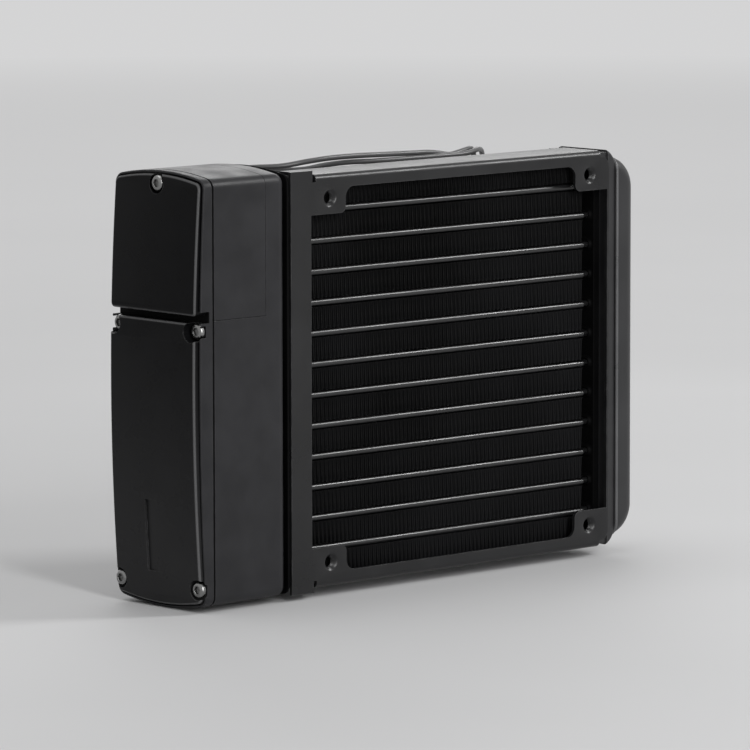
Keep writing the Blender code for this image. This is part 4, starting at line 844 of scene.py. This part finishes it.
def folded_sheet(face_y, into, outer, wall_y):
    """A radiator sheet with its window, four necked holes and folded top and bottom walls."""
    bm = bmesh.new()
    inner_y = face_y + into * SHEET
    faces = []
    for y in (face_y, inner_y):
        faces.append([ring(bm, "Y", loop, y) for loop in (outer, window_loop())])
    (outer_ring, window_ring), (inner_ring, inner_window) = faces
    skin(bm, window_ring, inner_window)
    count = len(outer)
    for i in range(count):
        j = (i + 1) % count
        edge = (outer_ring[i], outer_ring[j], inner_ring[j], inner_ring[i])
        if {outer[i][0], outer[j][0]} == {FOLD_LEFT, SHEET_RIGHT - CORNER_CUT}:
            fold(bm, edge, face_y, into, wall_y)
        else:
            bm.faces.new(edge)
    for x in (-HALF_HOLES, HALF_HOLES):
        for z in (-HALF_HOLES, HALF_HOLES):
            for rings, mouth in zip(faces, hole_rings(bm, (x, z), face_y, into)):
                rings.append(mouth)
    for rings in faces:
        fill(bm, rings)
    return mesh_of("folded_sheet", bm)


def fold(bm, start, face_y, into, wall_y):
    """Rolls a wall back from an edge of the sheet, given as its outer and inner ends."""
    line_z = start[0].co.z
    out = math.copysign(1, line_z)
    ends = (start[0].co.x, start[1].co.x)
    last = start
    steps = 10
    for step in range(1, steps + 2):
        turn = math.radians(90) * min(step, steps) / steps
        corners = []
        for radius, xs in zip((FOLD_RADIUS, FOLD_RADIUS - SHEET), (ends, ends[::-1])):
            y = face_y + into * (FOLD_RADIUS - radius * math.cos(turn))
            z = line_z + out * radius * math.sin(turn)
            corners += [bm.verts.new((x, wall_y if step > steps else y, z)) for x in xs]
        skin(bm, last, corners)
        last = corners
    bm.faces.new(last)


def cut_corner(line_z):
    """The sheet's right upper corner, up to the line that its wall folds on."""
    right = SHEET_RIGHT - CORNER_CUT
    return arc((right, line_z - CORNER_CUT), CORNER_CUT, 0, 90, 6)[:-1] + [(right, line_z)]


def radiator_sheets():
    """The front sheet, with the wide strip down its left side, and the plainer back sheet."""
    line_z = FRAME_HALF - FOLD_RADIUS
    relief_z = line_z - 0.0005
    strip_x = FOLD_LEFT - 0.0013
    upper = cut_corner(line_z) + [
        (FOLD_LEFT, line_z), (FOLD_LEFT, relief_z), (strip_x, relief_z), (strip_x, STRIP_HALF),
        (STRIP_LEFT, STRIP_HALF),
    ]
    outer = upper + [(x, -z) for x, z in reversed(upper)]
    mesh = folded_sheet(0, 1, outer, FRONT_WALL)
    piece("front_sheet", mesh, sheet_paint, ("front_frame",), edge=0.00014)
    line_z = BACK_HALF - FOLD_RADIUS
    upper = cut_corner(line_z) + [(FOLD_LEFT, line_z), (STRIP_RIGHT - 0.0065, line_z)]
    outer = upper + [(x, -z) for x, z in reversed(upper)]
    mesh = folded_sheet(DEPTH, -1, outer, DEPTH - FOLD_RADIUS - 0.002)
    piece("back_sheet", mesh, sheet_paint, ("back_frame",), edge=0.00014)


# Core


def tube_loop(grown_by=0.0, inset=0.0, steps=8):
    """A tube's outline, as (y, z): flat above and below, with round noses."""
    radius = TUBE / 2 + grown_by
    front = CORE_FRONT + TUBE / 2 + inset
    back = CORE_BACK - TUBE / 2 - inset
    return arc((front, 0), radius, 90, 270, steps) + arc((back, 0), radius, 270, 450, steps)


def flat_tubes():
    """Flat tubes with round noses, formed narrower where they enter the right header."""
    stations = [(LEFT_FACE - HEADER_WALL - 0.0007, 0), (FORMED_FROM, 0)]
    for step in range(1, 5):
        share = step / 4
        narrowed = FORMED_IN * (3 - 2 * share) * share**2
        stations.append((FORMED_FROM + 0.001 * share, narrowed))
    stations.append((RIGHT_FACE + HEADER_WALL + 0.0007, FORMED_IN))
    bm = bmesh.new()
    ends = []
    for grown_by in (0, -0.00035):
        rings = [ring(bm, "X", tube_loop(grown_by, inset), x) for x, inset in stations]
        skins(bm, rings)
        ends.append((rings[0], rings[-1]))
    for outer, inner in zip(*ends):
        skin(bm, outer, inner)
    mesh = grown(ROW, mesh_of("flat_tube", bm), Count=TUBE_COUNT, First=FIRST_TUBE,
                 Step=TUBE_STEP, Finish=tube_paint)
    nodes = [f"tube_{i + 1:02d}" for i in range(TUBE_COUNT)]
    piece("flat_tubes", mesh, tube_paint, nodes)


def fin_strips():
    """Fine corrugated fins: a strip between each two tubes, and one above and one below them."""
    sheet = 0.00014
    fold_radius = 0.00022
    bend = 0.00022
    height = TUBE_PITCH - TUBE - 2 * GAP - sheet
    left = LEFT_FACE + GAP + sheet
    crests = 2 * int((FORMED_FROM - left - sheet) / FIN_PITCH)
    half_pitch = (FORMED_FROM - left - sheet) / (crests - 0.4)
    low = -TUBE_COUNT / 2 * TUBE_PITCH - height / 2
    start = (left, (CORE_FRONT + CORE_BACK) / 2, low)
    bm = bmesh.new()
    bm.verts.new((0, 0, 0))
    unit = bpy.data.meshes.new("start")
    bm.to_mesh(unit)
    bm.free()
    mesh = grown(STRIPS, unit, Crests=crests, First=start, Height=height, Sheet=sheet,
                 Crest=0.6 * half_pitch, Depth=CORE_BACK - CORE_FRONT - 0.0004, Bend=bend,
                 Strips=TUBE_COUNT + 1, Finish=fin_black_and_shade,
                 **{"Half Pitch": half_pitch, "Fold Radius": fold_radius,
                    "Strip Step": TUBE_PITCH})
    nodes = [f"fin_strip_{i + 1:02d}" for i in range(TUBE_COUNT + 1)]
    piece("corrugated_fins", mesh, fin_black_and_shade, nodes)


def collar_row(x, side, inset):
    """A fillet of braze round each tube where it enters a header."""
    bm = bmesh.new()
    rings = []
    for out, along in ((0.0011, 0), (0.00075, 0.00012), (0.00048, 0.0004), (0.00035, 0.0009)):
        rings.append(ring(bm, "X", tube_loop(out, inset), x + side * along))
    inner = [ring(bm, "X", tube_loop(0.0001, inset), x + side * along) for along in (0.0009, 0)]
    rings += inner
    skins(bm, rings + rings[:1])
    # The braze fillets take the near-black painted shade, deep among the tubes.
    return grown(ROW, mesh_of("collar", bm), Count=TUBE_COUNT, First=FIRST_TUBE,
                 Step=TUBE_STEP, Finish=painted_shade_black)


def pillow(bm, left, right, half, corner_x, front, back, edges):
    """A block with round right corners and edges. The loop round its open left side is returned."""
    rings = []
    steps = 7
    for i in range(2 * steps + 2):
        turn = math.radians(90) * min(i, 2 * steps + 1 - i) / steps
        edge = edges[0] if i <= steps else edges[1]
        shrink = edge * (1 - math.sin(turn))
        depth = edge * (1 - math.cos(turn))
        y = front + depth if i <= steps else back - depth
        reach = right - shrink
        top = half - shrink
        bend = reach - corner_x
        lean = math.degrees(math.asin((left - corner_x) / bend))
        loop = arc((corner_x, bend - top), bend, 270 + lean, 360, 12)
        loop += arc((corner_x, top - bend), bend, 0, 90 - lean, 12)
        rings.append(ring(bm, "Y", loop, y))
    for first, second in zip(rings, rings[1:]):
        for i in range(len(first) - 1):
            bm.faces.new((first[i], first[i + 1], second[i + 1], second[i]))
    bm.faces.new(rings[0])
    bm.faces.new(rings[-1])
    return [points[0] for points in rings] + [points[-1] for points in reversed(rings)]


def left_header():
    """A stepped flange that carries the housing, the pan that the tubes enter, and its braze."""
    pan_left = LEFT_FACE - 0.0066
    overlap = 0.0002
    bm = bmesh.new()
    slab(bm, "X", HOUSING_RIGHT + GAP, ARC_STEP, closed(front_side(0.0004)))
    slab(bm, "X", ARC_STEP - overlap, pan_left + overlap, closed(front_side(0.0016)))
    # Painted shade: the flange beside the housing is near-black, standing for the dark gap there.
    piece("left_header_flange", mesh_of("left_header", bm), painted_shade_black,
          ("left_header",), edge=0.0003)
    bm = bmesh.new()
    front, back = SHEET + GAP, DEPTH - SHEET - GAP
    slab(bm, "X", pan_left, LEFT_FACE, rectangle(front, back, -CORE_HALF, CORE_HALF, 0.0015))
    piece("left_header_pan", mesh_of("left_header", bm), core_paint,
          edge=0.00016)
    piece("left_braze", collar_row(LEFT_FACE, 1, 0), painted_shade_black)


def right_header():
    """The rounded rim with a shoulder at its top and foot, the plate inside it and its braze."""
    bm = bmesh.new()
    mouth = pillow(bm, RIM_LEFT, RIM_RIGHT, half=FRAME_HALF + 0.0004, corner_x=RIM_LEFT - 0.0023,
                   front=0.0009, back=CORE_BACK + 0.0001, edges=(0.001, 0.003))
    bm.faces.new(mouth)
    for side in (-1, 1):
        ends = sorted((side * (CORE_HALF - 0.0006), side * (FRAME_HALF - 0.0007)))
        shoulder = rectangle(0.0014, CORE_BACK - 0.0004, *ends)
        slab(bm, "X", RIGHT_FACE - 0.0009, RIM_LEFT + 0.0003, shoulder)
    piece("right_header_rim", mesh_of("right_header", bm), header_paint,
          ("right_header",), edge=0.0006, segments=3)
    bm = bmesh.new()
    plate = rectangle(CORE_FRONT + 0.0005, CORE_BACK - 0.0005, -CORE_HALF, CORE_HALF, 0.001)
    slab(bm, "X", RIGHT_FACE, RIM_LEFT + 0.0002, plate)
    # Painted shade: the plate behind the window is near-black, standing for the shadow inside the
    # fan opening.
    piece("right_header_plate", mesh_of("header_plate", bm), painted_shade_black,
          edge=0.0002)
    piece("right_braze", collar_row(RIGHT_FACE, -1, FORMED_IN), painted_shade_black)


def end_tank():
    """The hollow tank on the right header. The path round its mouth is returned."""
    bm = bmesh.new()
    mouths = []
    for wall in (0, TANK_WALL):
        edge = TANK_EDGE - wall
        mouths.append(pillow(bm, TANK_LEFT, TANK_RIGHT - wall, half=FRAME_HALF - 0.0023 - wall,
                             corner_x=TANK_LEFT - 0.0016, front=0.0006 + wall,
                             back=CORE_BACK + 0.0004 - wall, edges=(edge, edge)))
    path = [Vector(corner.co) for corner in mouths[0]]
    skin(bm, *mouths)
    piece("end_tank_shell", mesh_of("end_tank", bm), header_paint, ("end_tank",),
          edge=0.00012)
    return path


def tank_bead(path):
    """The bead of braze that runs round the tank's mouth, over its joint with the header."""
    curve = bpy.data.curves.new("tank_bead", "CURVE")
    curve.dimensions = "3D"
    curve.bevel_depth = BEAD_RADIUS
    curve.bevel_resolution = 3
    spline = curve.splines.new("POLY")
    spline.points.add(len(path) - 1)
    for point, place in zip(spline.points, path):
        point.co = (place.x - BEAD_LEFT, place.y, place.z, 1)
    spline.use_cyclic_u = True
    mesh = settled(holder("tank_bead", curve))
    mesh.shade_smooth()
    # Its light grey paints a highlight along the joint.
    piece("end_tank_bead", mesh, bead_highlight_paint)


# Housing outline, seen along X: flat front and back, crowned top and bottom


def crown_points(inset):
    """Points from the middle of the top to the front side, as (y, z)."""
    radius = (HALF_DEPTH**2 + CROWN**2) / (2 * CROWN)
    centre_z = HOUSING_HALF - radius
    radius -= inset
    corner = max(CORNER - inset, CORNER / 6)
    reach = HALF_DEPTH - inset - corner
    corner_z = centre_z + math.sqrt((radius - corner) ** 2 - reach**2)
    lean = math.degrees(math.atan2(reach, corner_z - centre_z))
    points = arc((HALF_DEPTH, centre_z), radius, 90, 90 + lean, 10)
    return points + arc((HALF_DEPTH - reach, corner_z), corner, 90 + lean, 180, 7)[1:]


def front_side(inset, low=None, high=None, extra=0.0):
    """The front half of an outline, from top to bottom. A straight end has small round corners."""
    inset += extra
    corner = max(0.0011 - extra, 0.0003)
    if high is None:
        top = crown_points(inset)
    else:
        top = arc((inset + corner, high - extra - corner), corner, 90, 180, 5)
    if low is None:
        bottom = [(y, -z) for y, z in reversed(crown_points(inset))]
    else:
        bottom = arc((inset + corner, low + extra + corner), corner, 180, 270, 5)
    start, end = top[-1][1], bottom[0][1]
    count = 16
    middle = [(inset, start + (end - start) * i / count) for i in range(1, count)]
    return top + middle + bottom


def closed(side):
    """The whole outline, from its front half."""
    back = [(HOUSING_DEPTH - y, z) for y, z in side if abs(y - HALF_DEPTH) > 1e-6]
    return side + back[::-1]


def fill_across(bm, verts, side):
    """Strips from the front half of an outline to the back half."""
    count = len(side)
    first = 1 if abs(side[0][0] - HALF_DEPTH) < 1e-6 else 0
    last = count - 2 if abs(side[-1][0] - HALF_DEPTH) < 1e-6 else count - 1
    front = verts[first : last + 1]
    back = [verts[count + last - i] for i in range(first, last + 1)]
    if first:
        bm.faces.new((verts[0], front[0], back[0]))
    for i in range(len(front) - 1):
        bm.faces.new((front[i], front[i + 1], back[i + 1], back[i]))
    if last < count - 1:
        bm.faces.new((front[-1], verts[count - 1], back[-1]))


def face_x(height, face, bulge):
    """Where a bulged face stands, at a height above or below the middle."""
    return PLATE_X - face - bulge * (1 - (height / HOUSING_HALF) ** 2)


def bulged_ring(bm, loop, face, bulge, sunk=0.0):
    return [bm.verts.new((face_x(z, face, bulge) + sunk, y, z)) for y, z in loop]


def screw_places():
    """Middles of the five cover screws, as (y, z)."""
    back = HOUSING_DEPTH - 0.0025
    return [
        (HALF_DEPTH, HOUSING_HALF - 0.0036),
        (0.0025, CHANNEL_LOW - 0.0024),
        (back, CHANNEL_LOW - 0.0024),
        (0.0025, FLOOR_Z + 0.0066),
        (back, FLOOR_Z + 0.0066),
    ]


def screw_tool():
    """The five pockets with their bores, to be cut out of the covers and the end plate."""
    low, high = COVER_BACK - 0.0081, HEAD_SEAT - GAP + 0.0125
    profile = [(low, 0), (low, 0.003), (HEAD_SEAT, 0.003), (HEAD_SEAT, 0.0015), (high, 0.0015)]
    bm = bmesh.new()
    for place in screw_places():
        turned(bm, "X", place, [*profile, (high, 0)], 32)
    return mesh_of("screw_holes", bm)


def turned_tool(axis, centre, profile, steps=48):
    bm = bmesh.new()
    turned(bm, axis, centre, profile, steps)
    return mesh_of("tool", bm)


def block_tool(axis, low, high, loop):
    bm = bmesh.new()
    slab(bm, axis, low, high, loop)
    return mesh_of("tool", bm)


def panel_band(outer, inner, bottom):
    """A band of the housing's front side and top, between two insets."""
    over = [(outer, bottom)] + crown_points(outer)[::-1]
    over += [(HOUSING_DEPTH - y, z) for y, z in crown_points(outer)[1:11]]
    under = [(inner, bottom)] + crown_points(inner)[::-1]
    under += [(HOUSING_DEPTH - y, z) for y, z in crown_points(inner)[1:11]]
    return over + under[::-1]


def housing():
    """The housing with its round right end, the bores in its back and the inset panel."""
    edge = 0.0035
    bm = bmesh.new()
    rings = []
    floor = HOUSING_RIGHT - 0.003
    inner = closed(front_side(HOUSING_WALL))
    for x in (floor, HOUSING_LEFT):
        rings.append(ring(bm, "X", inner, x))
    rings.append(ring(bm, "X", closed(front_side(0.0)), HOUSING_LEFT))
    for step in range(11):
        turn = math.radians(90) * step / 10
        loop = closed(front_side(edge * (1 - math.cos(turn))))
        rings.append(ring(bm, "X", loop, HOUSING_RIGHT - edge * (1 - math.sin(turn))))
    skins(bm, rings)
    bm.faces.new(rings[0])
    bm.faces.new(rings[-1])
    shell = mesh_of("housing", bm)
    low, high = HOUSING_DEPTH - 2 * HOUSING_WALL, HOUSING_DEPTH + HOUSING_WALL
    tools = []
    for x, z, radius in (
        (PORT_X, RETURN_Z, 0.0055), (PORT_X, SUPPLY_Z, 0.0055), (GLAND_X, GLAND_Z, 0.0027),
    ):
        bore = [(low, 0), (low, radius), (high, radius), (high, 0)]
        tools.append(turned_tool("Y", (x, z), bore))
    recess = panel_band(-PANEL_DEPTH, PANEL_DEPTH + GAP, PANEL_BOTTOM)
    tools.append(block_tool("X", HOUSING_LEFT - PANEL_DEPTH, PANEL_RIGHT, recess))
    shell = cut(shell, *tools)
    piece("housing_shell", shell, housing_black, ("pump_housing",),
          edge=0.0001)
    seam = 0.00012
    band = panel_band(0, PANEL_DEPTH, PANEL_BOTTOM + seam)
    bm = bmesh.new()
    slab(bm, "X", HOUSING_LEFT, PANEL_RIGHT - seam, band)
    piece("inset_panel", mesh_of("side_panel", bm), housing_black,
          ("side_panel",), edge=0.00006)


def end_plate():
    """The plate that closes the housing, with its bulged rim, channel and screw pockets."""
    round_edge = 0.0004
    bm = bmesh.new()
    rings = [ring(bm, "X", closed(front_side(0.0)), PLATE_X)]
    for step in range(5):
        turn = math.radians(90) * step / 4
        loop = closed(front_side(round_edge * (1 - math.cos(turn))))
        rings.append(bulged_ring(bm, loop, RIM_FACE, RIM_BULGE, round_edge * (1 - math.sin(turn))))
    inner = closed(front_side(0.0006))
    rings.append(bulged_ring(bm, closed(front_side(0.00052)), RIM_FACE, RIM_BULGE))
    rings.append(bulged_ring(bm, inner, RIM_FACE, RIM_BULGE, 0.0001))
    rings.append(ring(bm, "X", inner, SEAT_X))
    skins(bm, rings)
    bm.faces.new(rings[0])
    bm.faces.new(rings[-1])
    channel = rectangle(-0.0027, HOUSING_DEPTH + 0.0027, CHANNEL_LOW, CHANNEL_HIGH)
    outside = SEAT_X - RIM_FACE
    pocket = [
        (outside, 0), (outside, CUP_RADIUS), (CUP_FLOOR, CUP_RADIUS), (CUP_FLOOR, CUP_WELL),
        (SEAT_X + 0.001, CUP_WELL), (SEAT_X + 0.001, 0),
    ]
    plate = cut(
        mesh_of("end_plate", bm),
        block_tool("X", SEAT_X - 0.0081, SEAT_X + 0.0002, channel),
        turned_tool("X", CUP_CENTRE, pocket),
        screw_tool(),
    )
    piece("end_plate_rim", plate, housing_black, ("end_plate",), edge=0.00008)


def channel_lining():
    """A near-black sheet on the floor of the channel between the covers: painted shade, standing
    for the shadow in the channel.
    """
    bm = bmesh.new()
    strip = rectangle(0.0001, HOUSING_DEPTH - 0.0001, CHANNEL_LOW - 0.0008, CHANNEL_HIGH + 0.0008)
    slab(bm, "X", SEAT_X - 0.0002, SEAT_X + 0.0004, strip)
    piece("channel_lining", mesh_of("channel_lining", bm), painted_shade_black)


def motor_cup():
    """The cup behind the plate that holds the pump's motor, with a well for the rotor."""
    start, end = PLATE_X + GAP, SEAT_X + 0.0122
    outer, bore = CUP_RADIUS + 0.0014, 0.0054
    profile = [
        (start, CUP_RADIUS), (start, outer), (end, outer), (end, bore), (SEAT_X + 0.0056, bore),
        (SEAT_X + 0.0056, 0.0025), (SEAT_X + 0.0024, 0.0025), (SEAT_X + 0.0024, 0),
        (SEAT_X + 0.001, 0), (SEAT_X + 0.001, CUP_WELL), (CUP_FLOOR, CUP_WELL),
        (CUP_FLOOR, CUP_RADIUS),
    ]
    bm = bmesh.new()
    rings = []
    for along, radius in profile:
        loop = circle(CUP_CENTRE, radius, 48) if radius else [CUP_CENTRE]
        rings.append(ring(bm, "X", loop, along))
    for first, second in zip(rings, rings[1:] + rings[:1]):
        if len(first) > 1 or len(second) > 1:
            skin(bm, first, second)
    piece("motor_cup", mesh_of("motor_cup", bm), housing_black, edge=0.0001)


def cover(name, node, low, high, *more_tools):
    """A hollow bulged cover with a rounded edge and pockets for its screws.

    Its lower end, where it has a straight one, has a deeper round than the other edges.
    """

    def side(extra):
        end = None if low is None else low + 0.9 * extra
        return front_side(COVER_INSET, end, high, extra)

    round_edge = 0.0009
    bm = bmesh.new()
    hollow = side(0.0056)
    rings = [
        bulged_ring(bm, closed(hollow), COVER_FACE, COVER_BULGE, 0.0016),
        ring(bm, "X", closed(hollow), COVER_BACK),
        ring(bm, "X", closed(side(0)), COVER_BACK),
    ]
    for step in range(6):
        turn = math.radians(90) * step / 5
        loop = closed(side(round_edge * (1 - math.cos(turn))))
        sunk = round_edge * (1 - math.sin(turn))
        rings.append(bulged_ring(bm, loop, COVER_FACE, COVER_BULGE, sunk))
    skins(bm, rings)
    fill_across(bm, rings[0], hollow)
    fill_across(bm, rings[-1], side(round_edge))
    mesh = cut(mesh_of(name, bm), screw_tool(), *more_tools)
    piece(name, mesh, cover_black, (node,), edge=0.00009)


def slot_tool():
    """A shallow recess: a step along its back edge that runs out forwards."""
    bottom, top = FLOOR_Z + 0.0102, FLOOR_Z + 0.0307
    width, depth = 0.005, 0.0007
    y = HALF_DEPTH + 0.004
    bm = bmesh.new()
    rings = []
    for i in range(13):
        z = bottom + (top - bottom) * i / 12
        face = face_x(z, COVER_FACE, COVER_BULGE)
        points = ((face + depth, y), (face - depth, y - 2 * width), (face - depth, y))
        rings.append([bm.verts.new((x, at, z)) for x, at in points])
    skins(bm, rings)
    bm.faces.new(rings[0])
    bm.faces.new(rings[-1])
    return mesh_of("slot", bm)


def cover_screws():
    """Button-head screws with a hexagon recess, one at each of five places."""
    head, top, height = 0.0023, 0.00135, 0.0015
    profile = [(0.0115, 0), (0.0115, 0.0009), (0.0112, 0.0012)]
    for turn in range(16):
        profile += [(0.0108 - turn * 0.0006, 0.0012), (0.0105 - turn * 0.0006, 0.00098)]
    profile += [(0.0009, 0.0012), (0, 0.0012), (0, head - 0.00012), (-0.00012, head)]
    for step in range(7):
        turn = math.radians(90) * step / 6
        profile.append((-0.0005 - 0.001 * math.sin(turn), top + (head - top) * math.cos(turn)))
    bm = bmesh.new()
    rings = []
    for along, radius in profile:
        rings.append(ring(bm, "X", circle((0, 0), radius, 32) if radius else [(0, 0)], along))
    skins(bm, rings)
    hexagons = []
    for radius, depth in ((0.00128, 0), (0.0012, 0.0001), (0.0012, 0.0009)):
        hexagons.append(ring(bm, "X", circle((0, 0), radius, 6), depth - height))
    skins(bm, hexagons)
    skin(bm, hexagons[-1], [bm.verts.new((-height + 0.00125, 0, 0))])
    fill(bm, [rings[-1], hexagons[0]])
    unit = mesh_of("cover_screw", bm, 40)
    x = HEAD_SEAT - GAP
    places = bpy.data.meshes.new("screw_places")
    places.from_pydata([(x, y, z) for y, z in screw_places()], [], [])
    marks = holder("screw_places", places)
    mesh = grown(PLACES, unit, Places=marks, Finish=screw_steel)
    bpy.data.objects.remove(marks)
    nodes = [f"cover_screw_{i + 1}" for i in range(5)]
    piece("cover_screws", mesh, screw_steel, nodes)


def hose_ports():
    """Barbed hose ports in the housing's back wall."""
    neck, flange, long = 0.0047, GAP + 0.002, 0.015
    rise = (long - flange) / 4
    profile = [
        (-HOUSING_WALL, 0.0034), (-HOUSING_WALL, 0.0052), (GAP, 0.0052), (GAP, 0.0078),
        (flange, 0.0078), (flange, neck), (flange + rise, neck), (flange + rise, 0.0057),
        (flange + 2 * rise, neck), (flange + 3 * rise, neck), (flange + 3 * rise, 0.0057),
        (long, neck), (long, 0.0034),
    ]
    for node, z in (("return_port", RETURN_Z), ("supply_port", SUPPLY_Z)):
        bm = bmesh.new()
        rings = [(HOUSING_DEPTH + along, r) for along, r in eased(profile, 0.0003)]
        turned(bm, "Y", (PORT_X, z), rings)
        mesh = mesh_of(node + "_barb", bm)
        piece(node + "_barb", mesh, housing_black, (node,))


def gland():
    """The ribbed gland that the lead leaves by, in the housing's back wall."""
    profile = [(-HOUSING_WALL, 0), (-HOUSING_WALL, 0.0024), (GAP, 0.0024), (GAP, 0.004),
               (0.0018, 0.004), (0.0021, 0.0036)]
    for rib in range(4):
        start = 0.0023 + rib * 0.00095
        outer = 0.0033 - rib * 0.00025
        profile += [(start, outer - 0.0005), (start + 0.00035, outer - 0.0005),
                    (start + 0.00045, outer), (start + 0.0009, outer)]
    profile += [(GLAND_LENGTH, 0.0022), (GLAND_LENGTH, 0)]
    bm = bmesh.new()
    rings = [(HOUSING_DEPTH + along, r) for along, r in profile]
    turned(bm, "Y", (GLAND_X, GLAND_Z), rings, 40)
    piece("lead_gland_nose", mesh_of("gland", bm), seal_rubber, ("lead_gland",))


radiator_sheets()
flat_tubes()
fin_strips()
left_header()
right_header()
tank_bead(end_tank())
housing()
end_plate()
channel_lining()
motor_cup()
cover("upper_cover_skin", "upper_cover", CHANNEL_HIGH - COVER_LIP, None)
cover("lower_cover_skin", "lower_cover", None, CHANNEL_LOW, slot_tool())
cover_screws()
hose_ports()
gland()


# Pieces that keep their CAD shape

CARRIED_OVER = {
    "top_side_plate": core_paint,
    "bottom_side_plate": core_paint,
    "end_plate_gasket": seal_rubber,
    "stator_core": stator_iron,
    "stator_coil": coil_copper,
    "control_board": board_green,
    "bearing_plate": pump_plastic,
    "volute_casing": pump_plastic,
    "impeller": pump_plastic,
    "front_bush": bush_carbon,
    "rear_bush": bush_carbon,
    "rotor_shaft": shaft_ceramic,
    "rotor_magnet": magnet_ferrite,
}
for name, made in CARRIED_OVER.items():
    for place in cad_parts[name].material_slots:
        place.material = made


# Floor and light


def seen_rays(graph):
    """1 for what the camera sees, also in a reflection or through glass."""
    path = graph.node("ShaderNodeLightPath").outputs
    seen = graph.maths("ADD", path["Is Camera Ray"], path["Is Glossy Ray"])
    return graph.maths("MINIMUM", graph.maths("ADD", seen, path["Is Transmission Ray"]), 1.0)


def floor():
    """A wide pale ground that turns into an even pale tone far off, for seen rays alone."""
    bm = bmesh.new()
    for x, y in ((-30, -30), (30, -30), (30, 30), (-30, 30)):
        bm.verts.new((x, y, -0.0002))
    bm.faces.new(bm.verts)
    mesh = bpy.data.meshes.new("floor")
    bm.to_mesh(mesh)
    bm.free()
    ground = bpy.data.materials.new("pale_floor")
    ground.use_nodes = True
    graph = Graph(ground.node_tree)
    shader = ground.node_tree.nodes["Principled BSDF"]
    place = graph.node("ShaderNodeTexCoord").outputs["Object"]
    shade = graph.span(graph.noise(place, 3.0), 0.3, 0.7)
    tone = graph.mix(shade, (0.60, 0.60, 0.605, 1), (0.64, 0.64, 0.645, 1))
    ground.node_tree.links.new(tone, shader.inputs["Base Color"])
    shader.inputs["Roughness"].default_value = 0.7
    far = graph.node("ShaderNodeVectorMath", {0: place}, operation="LENGTH").outputs["Value"]
    share = graph.maths("MULTIPLY", graph.span(far, 0.3, 2.2, 0.0, 1.0), seen_rays(graph))
    pale = graph.node("ShaderNodeEmission", {"Color": (0.66, 0.66, 0.664, 1), "Strength": 1.0})
    blend = {0: share, 1: shader.outputs[0], 2: pale.outputs[0]}
    mixed = graph.node("ShaderNodeMixShader", blend).outputs[0]
    out = ground.node_tree.nodes["Material Output"]
    ground.node_tree.links.new(mixed, out.inputs["Surface"])
    mesh.materials.append(ground)
    holder("floor", mesh)


def softbox(name, place, aim, size, power):
    """A rectangular soft lamp that is turned to an aim."""
    data = bpy.data.lights.new(name, "AREA")
    data.shape = "RECTANGLE"
    data.size, data.size_y = size
    data.energy = power
    lamp = bpy.data.objects.new(name, data)
    bpy.context.scene.collection.objects.link(lamp)
    turn = (Vector(aim) - Vector(place)).to_track_quat("-Z", "Y").to_matrix().to_4x4()
    lamp.matrix_world = Matrix.Translation(place) @ turn


def studio():
    """An even pale room and four soft lamps."""
    scene = bpy.context.scene
    scene.view_settings.view_transform = "Standard"
    world = bpy.data.worlds.new("studio")
    scene.world = world
    world.use_nodes = True
    graph = Graph(world.node_tree)
    back = world.node_tree.nodes["Background"]
    strength = graph.span(seen_rays(graph), 0.0, 1.0, 0.22, 0.68)
    world.node_tree.links.new(strength, back.inputs["Strength"])
    back.inputs["Color"].default_value = (1, 1, 1, 1)
    middle = (0, 0, 0.06)
    softbox("front", (-0.5, -1.65, 0.65), middle, (0.3, 1.2), 19)
    softbox("top_right", (1.09, -0.7, 0.95), middle, (0.35, 0.4), 10)
    softbox("behind", (1.1, 1.2, 0.75), middle, (1.2, 0.4), 4.2)
    softbox("overhead", (-0.2, 0.25, 1.5), middle, (1.2, 1.0), 6)


floor()
studio()
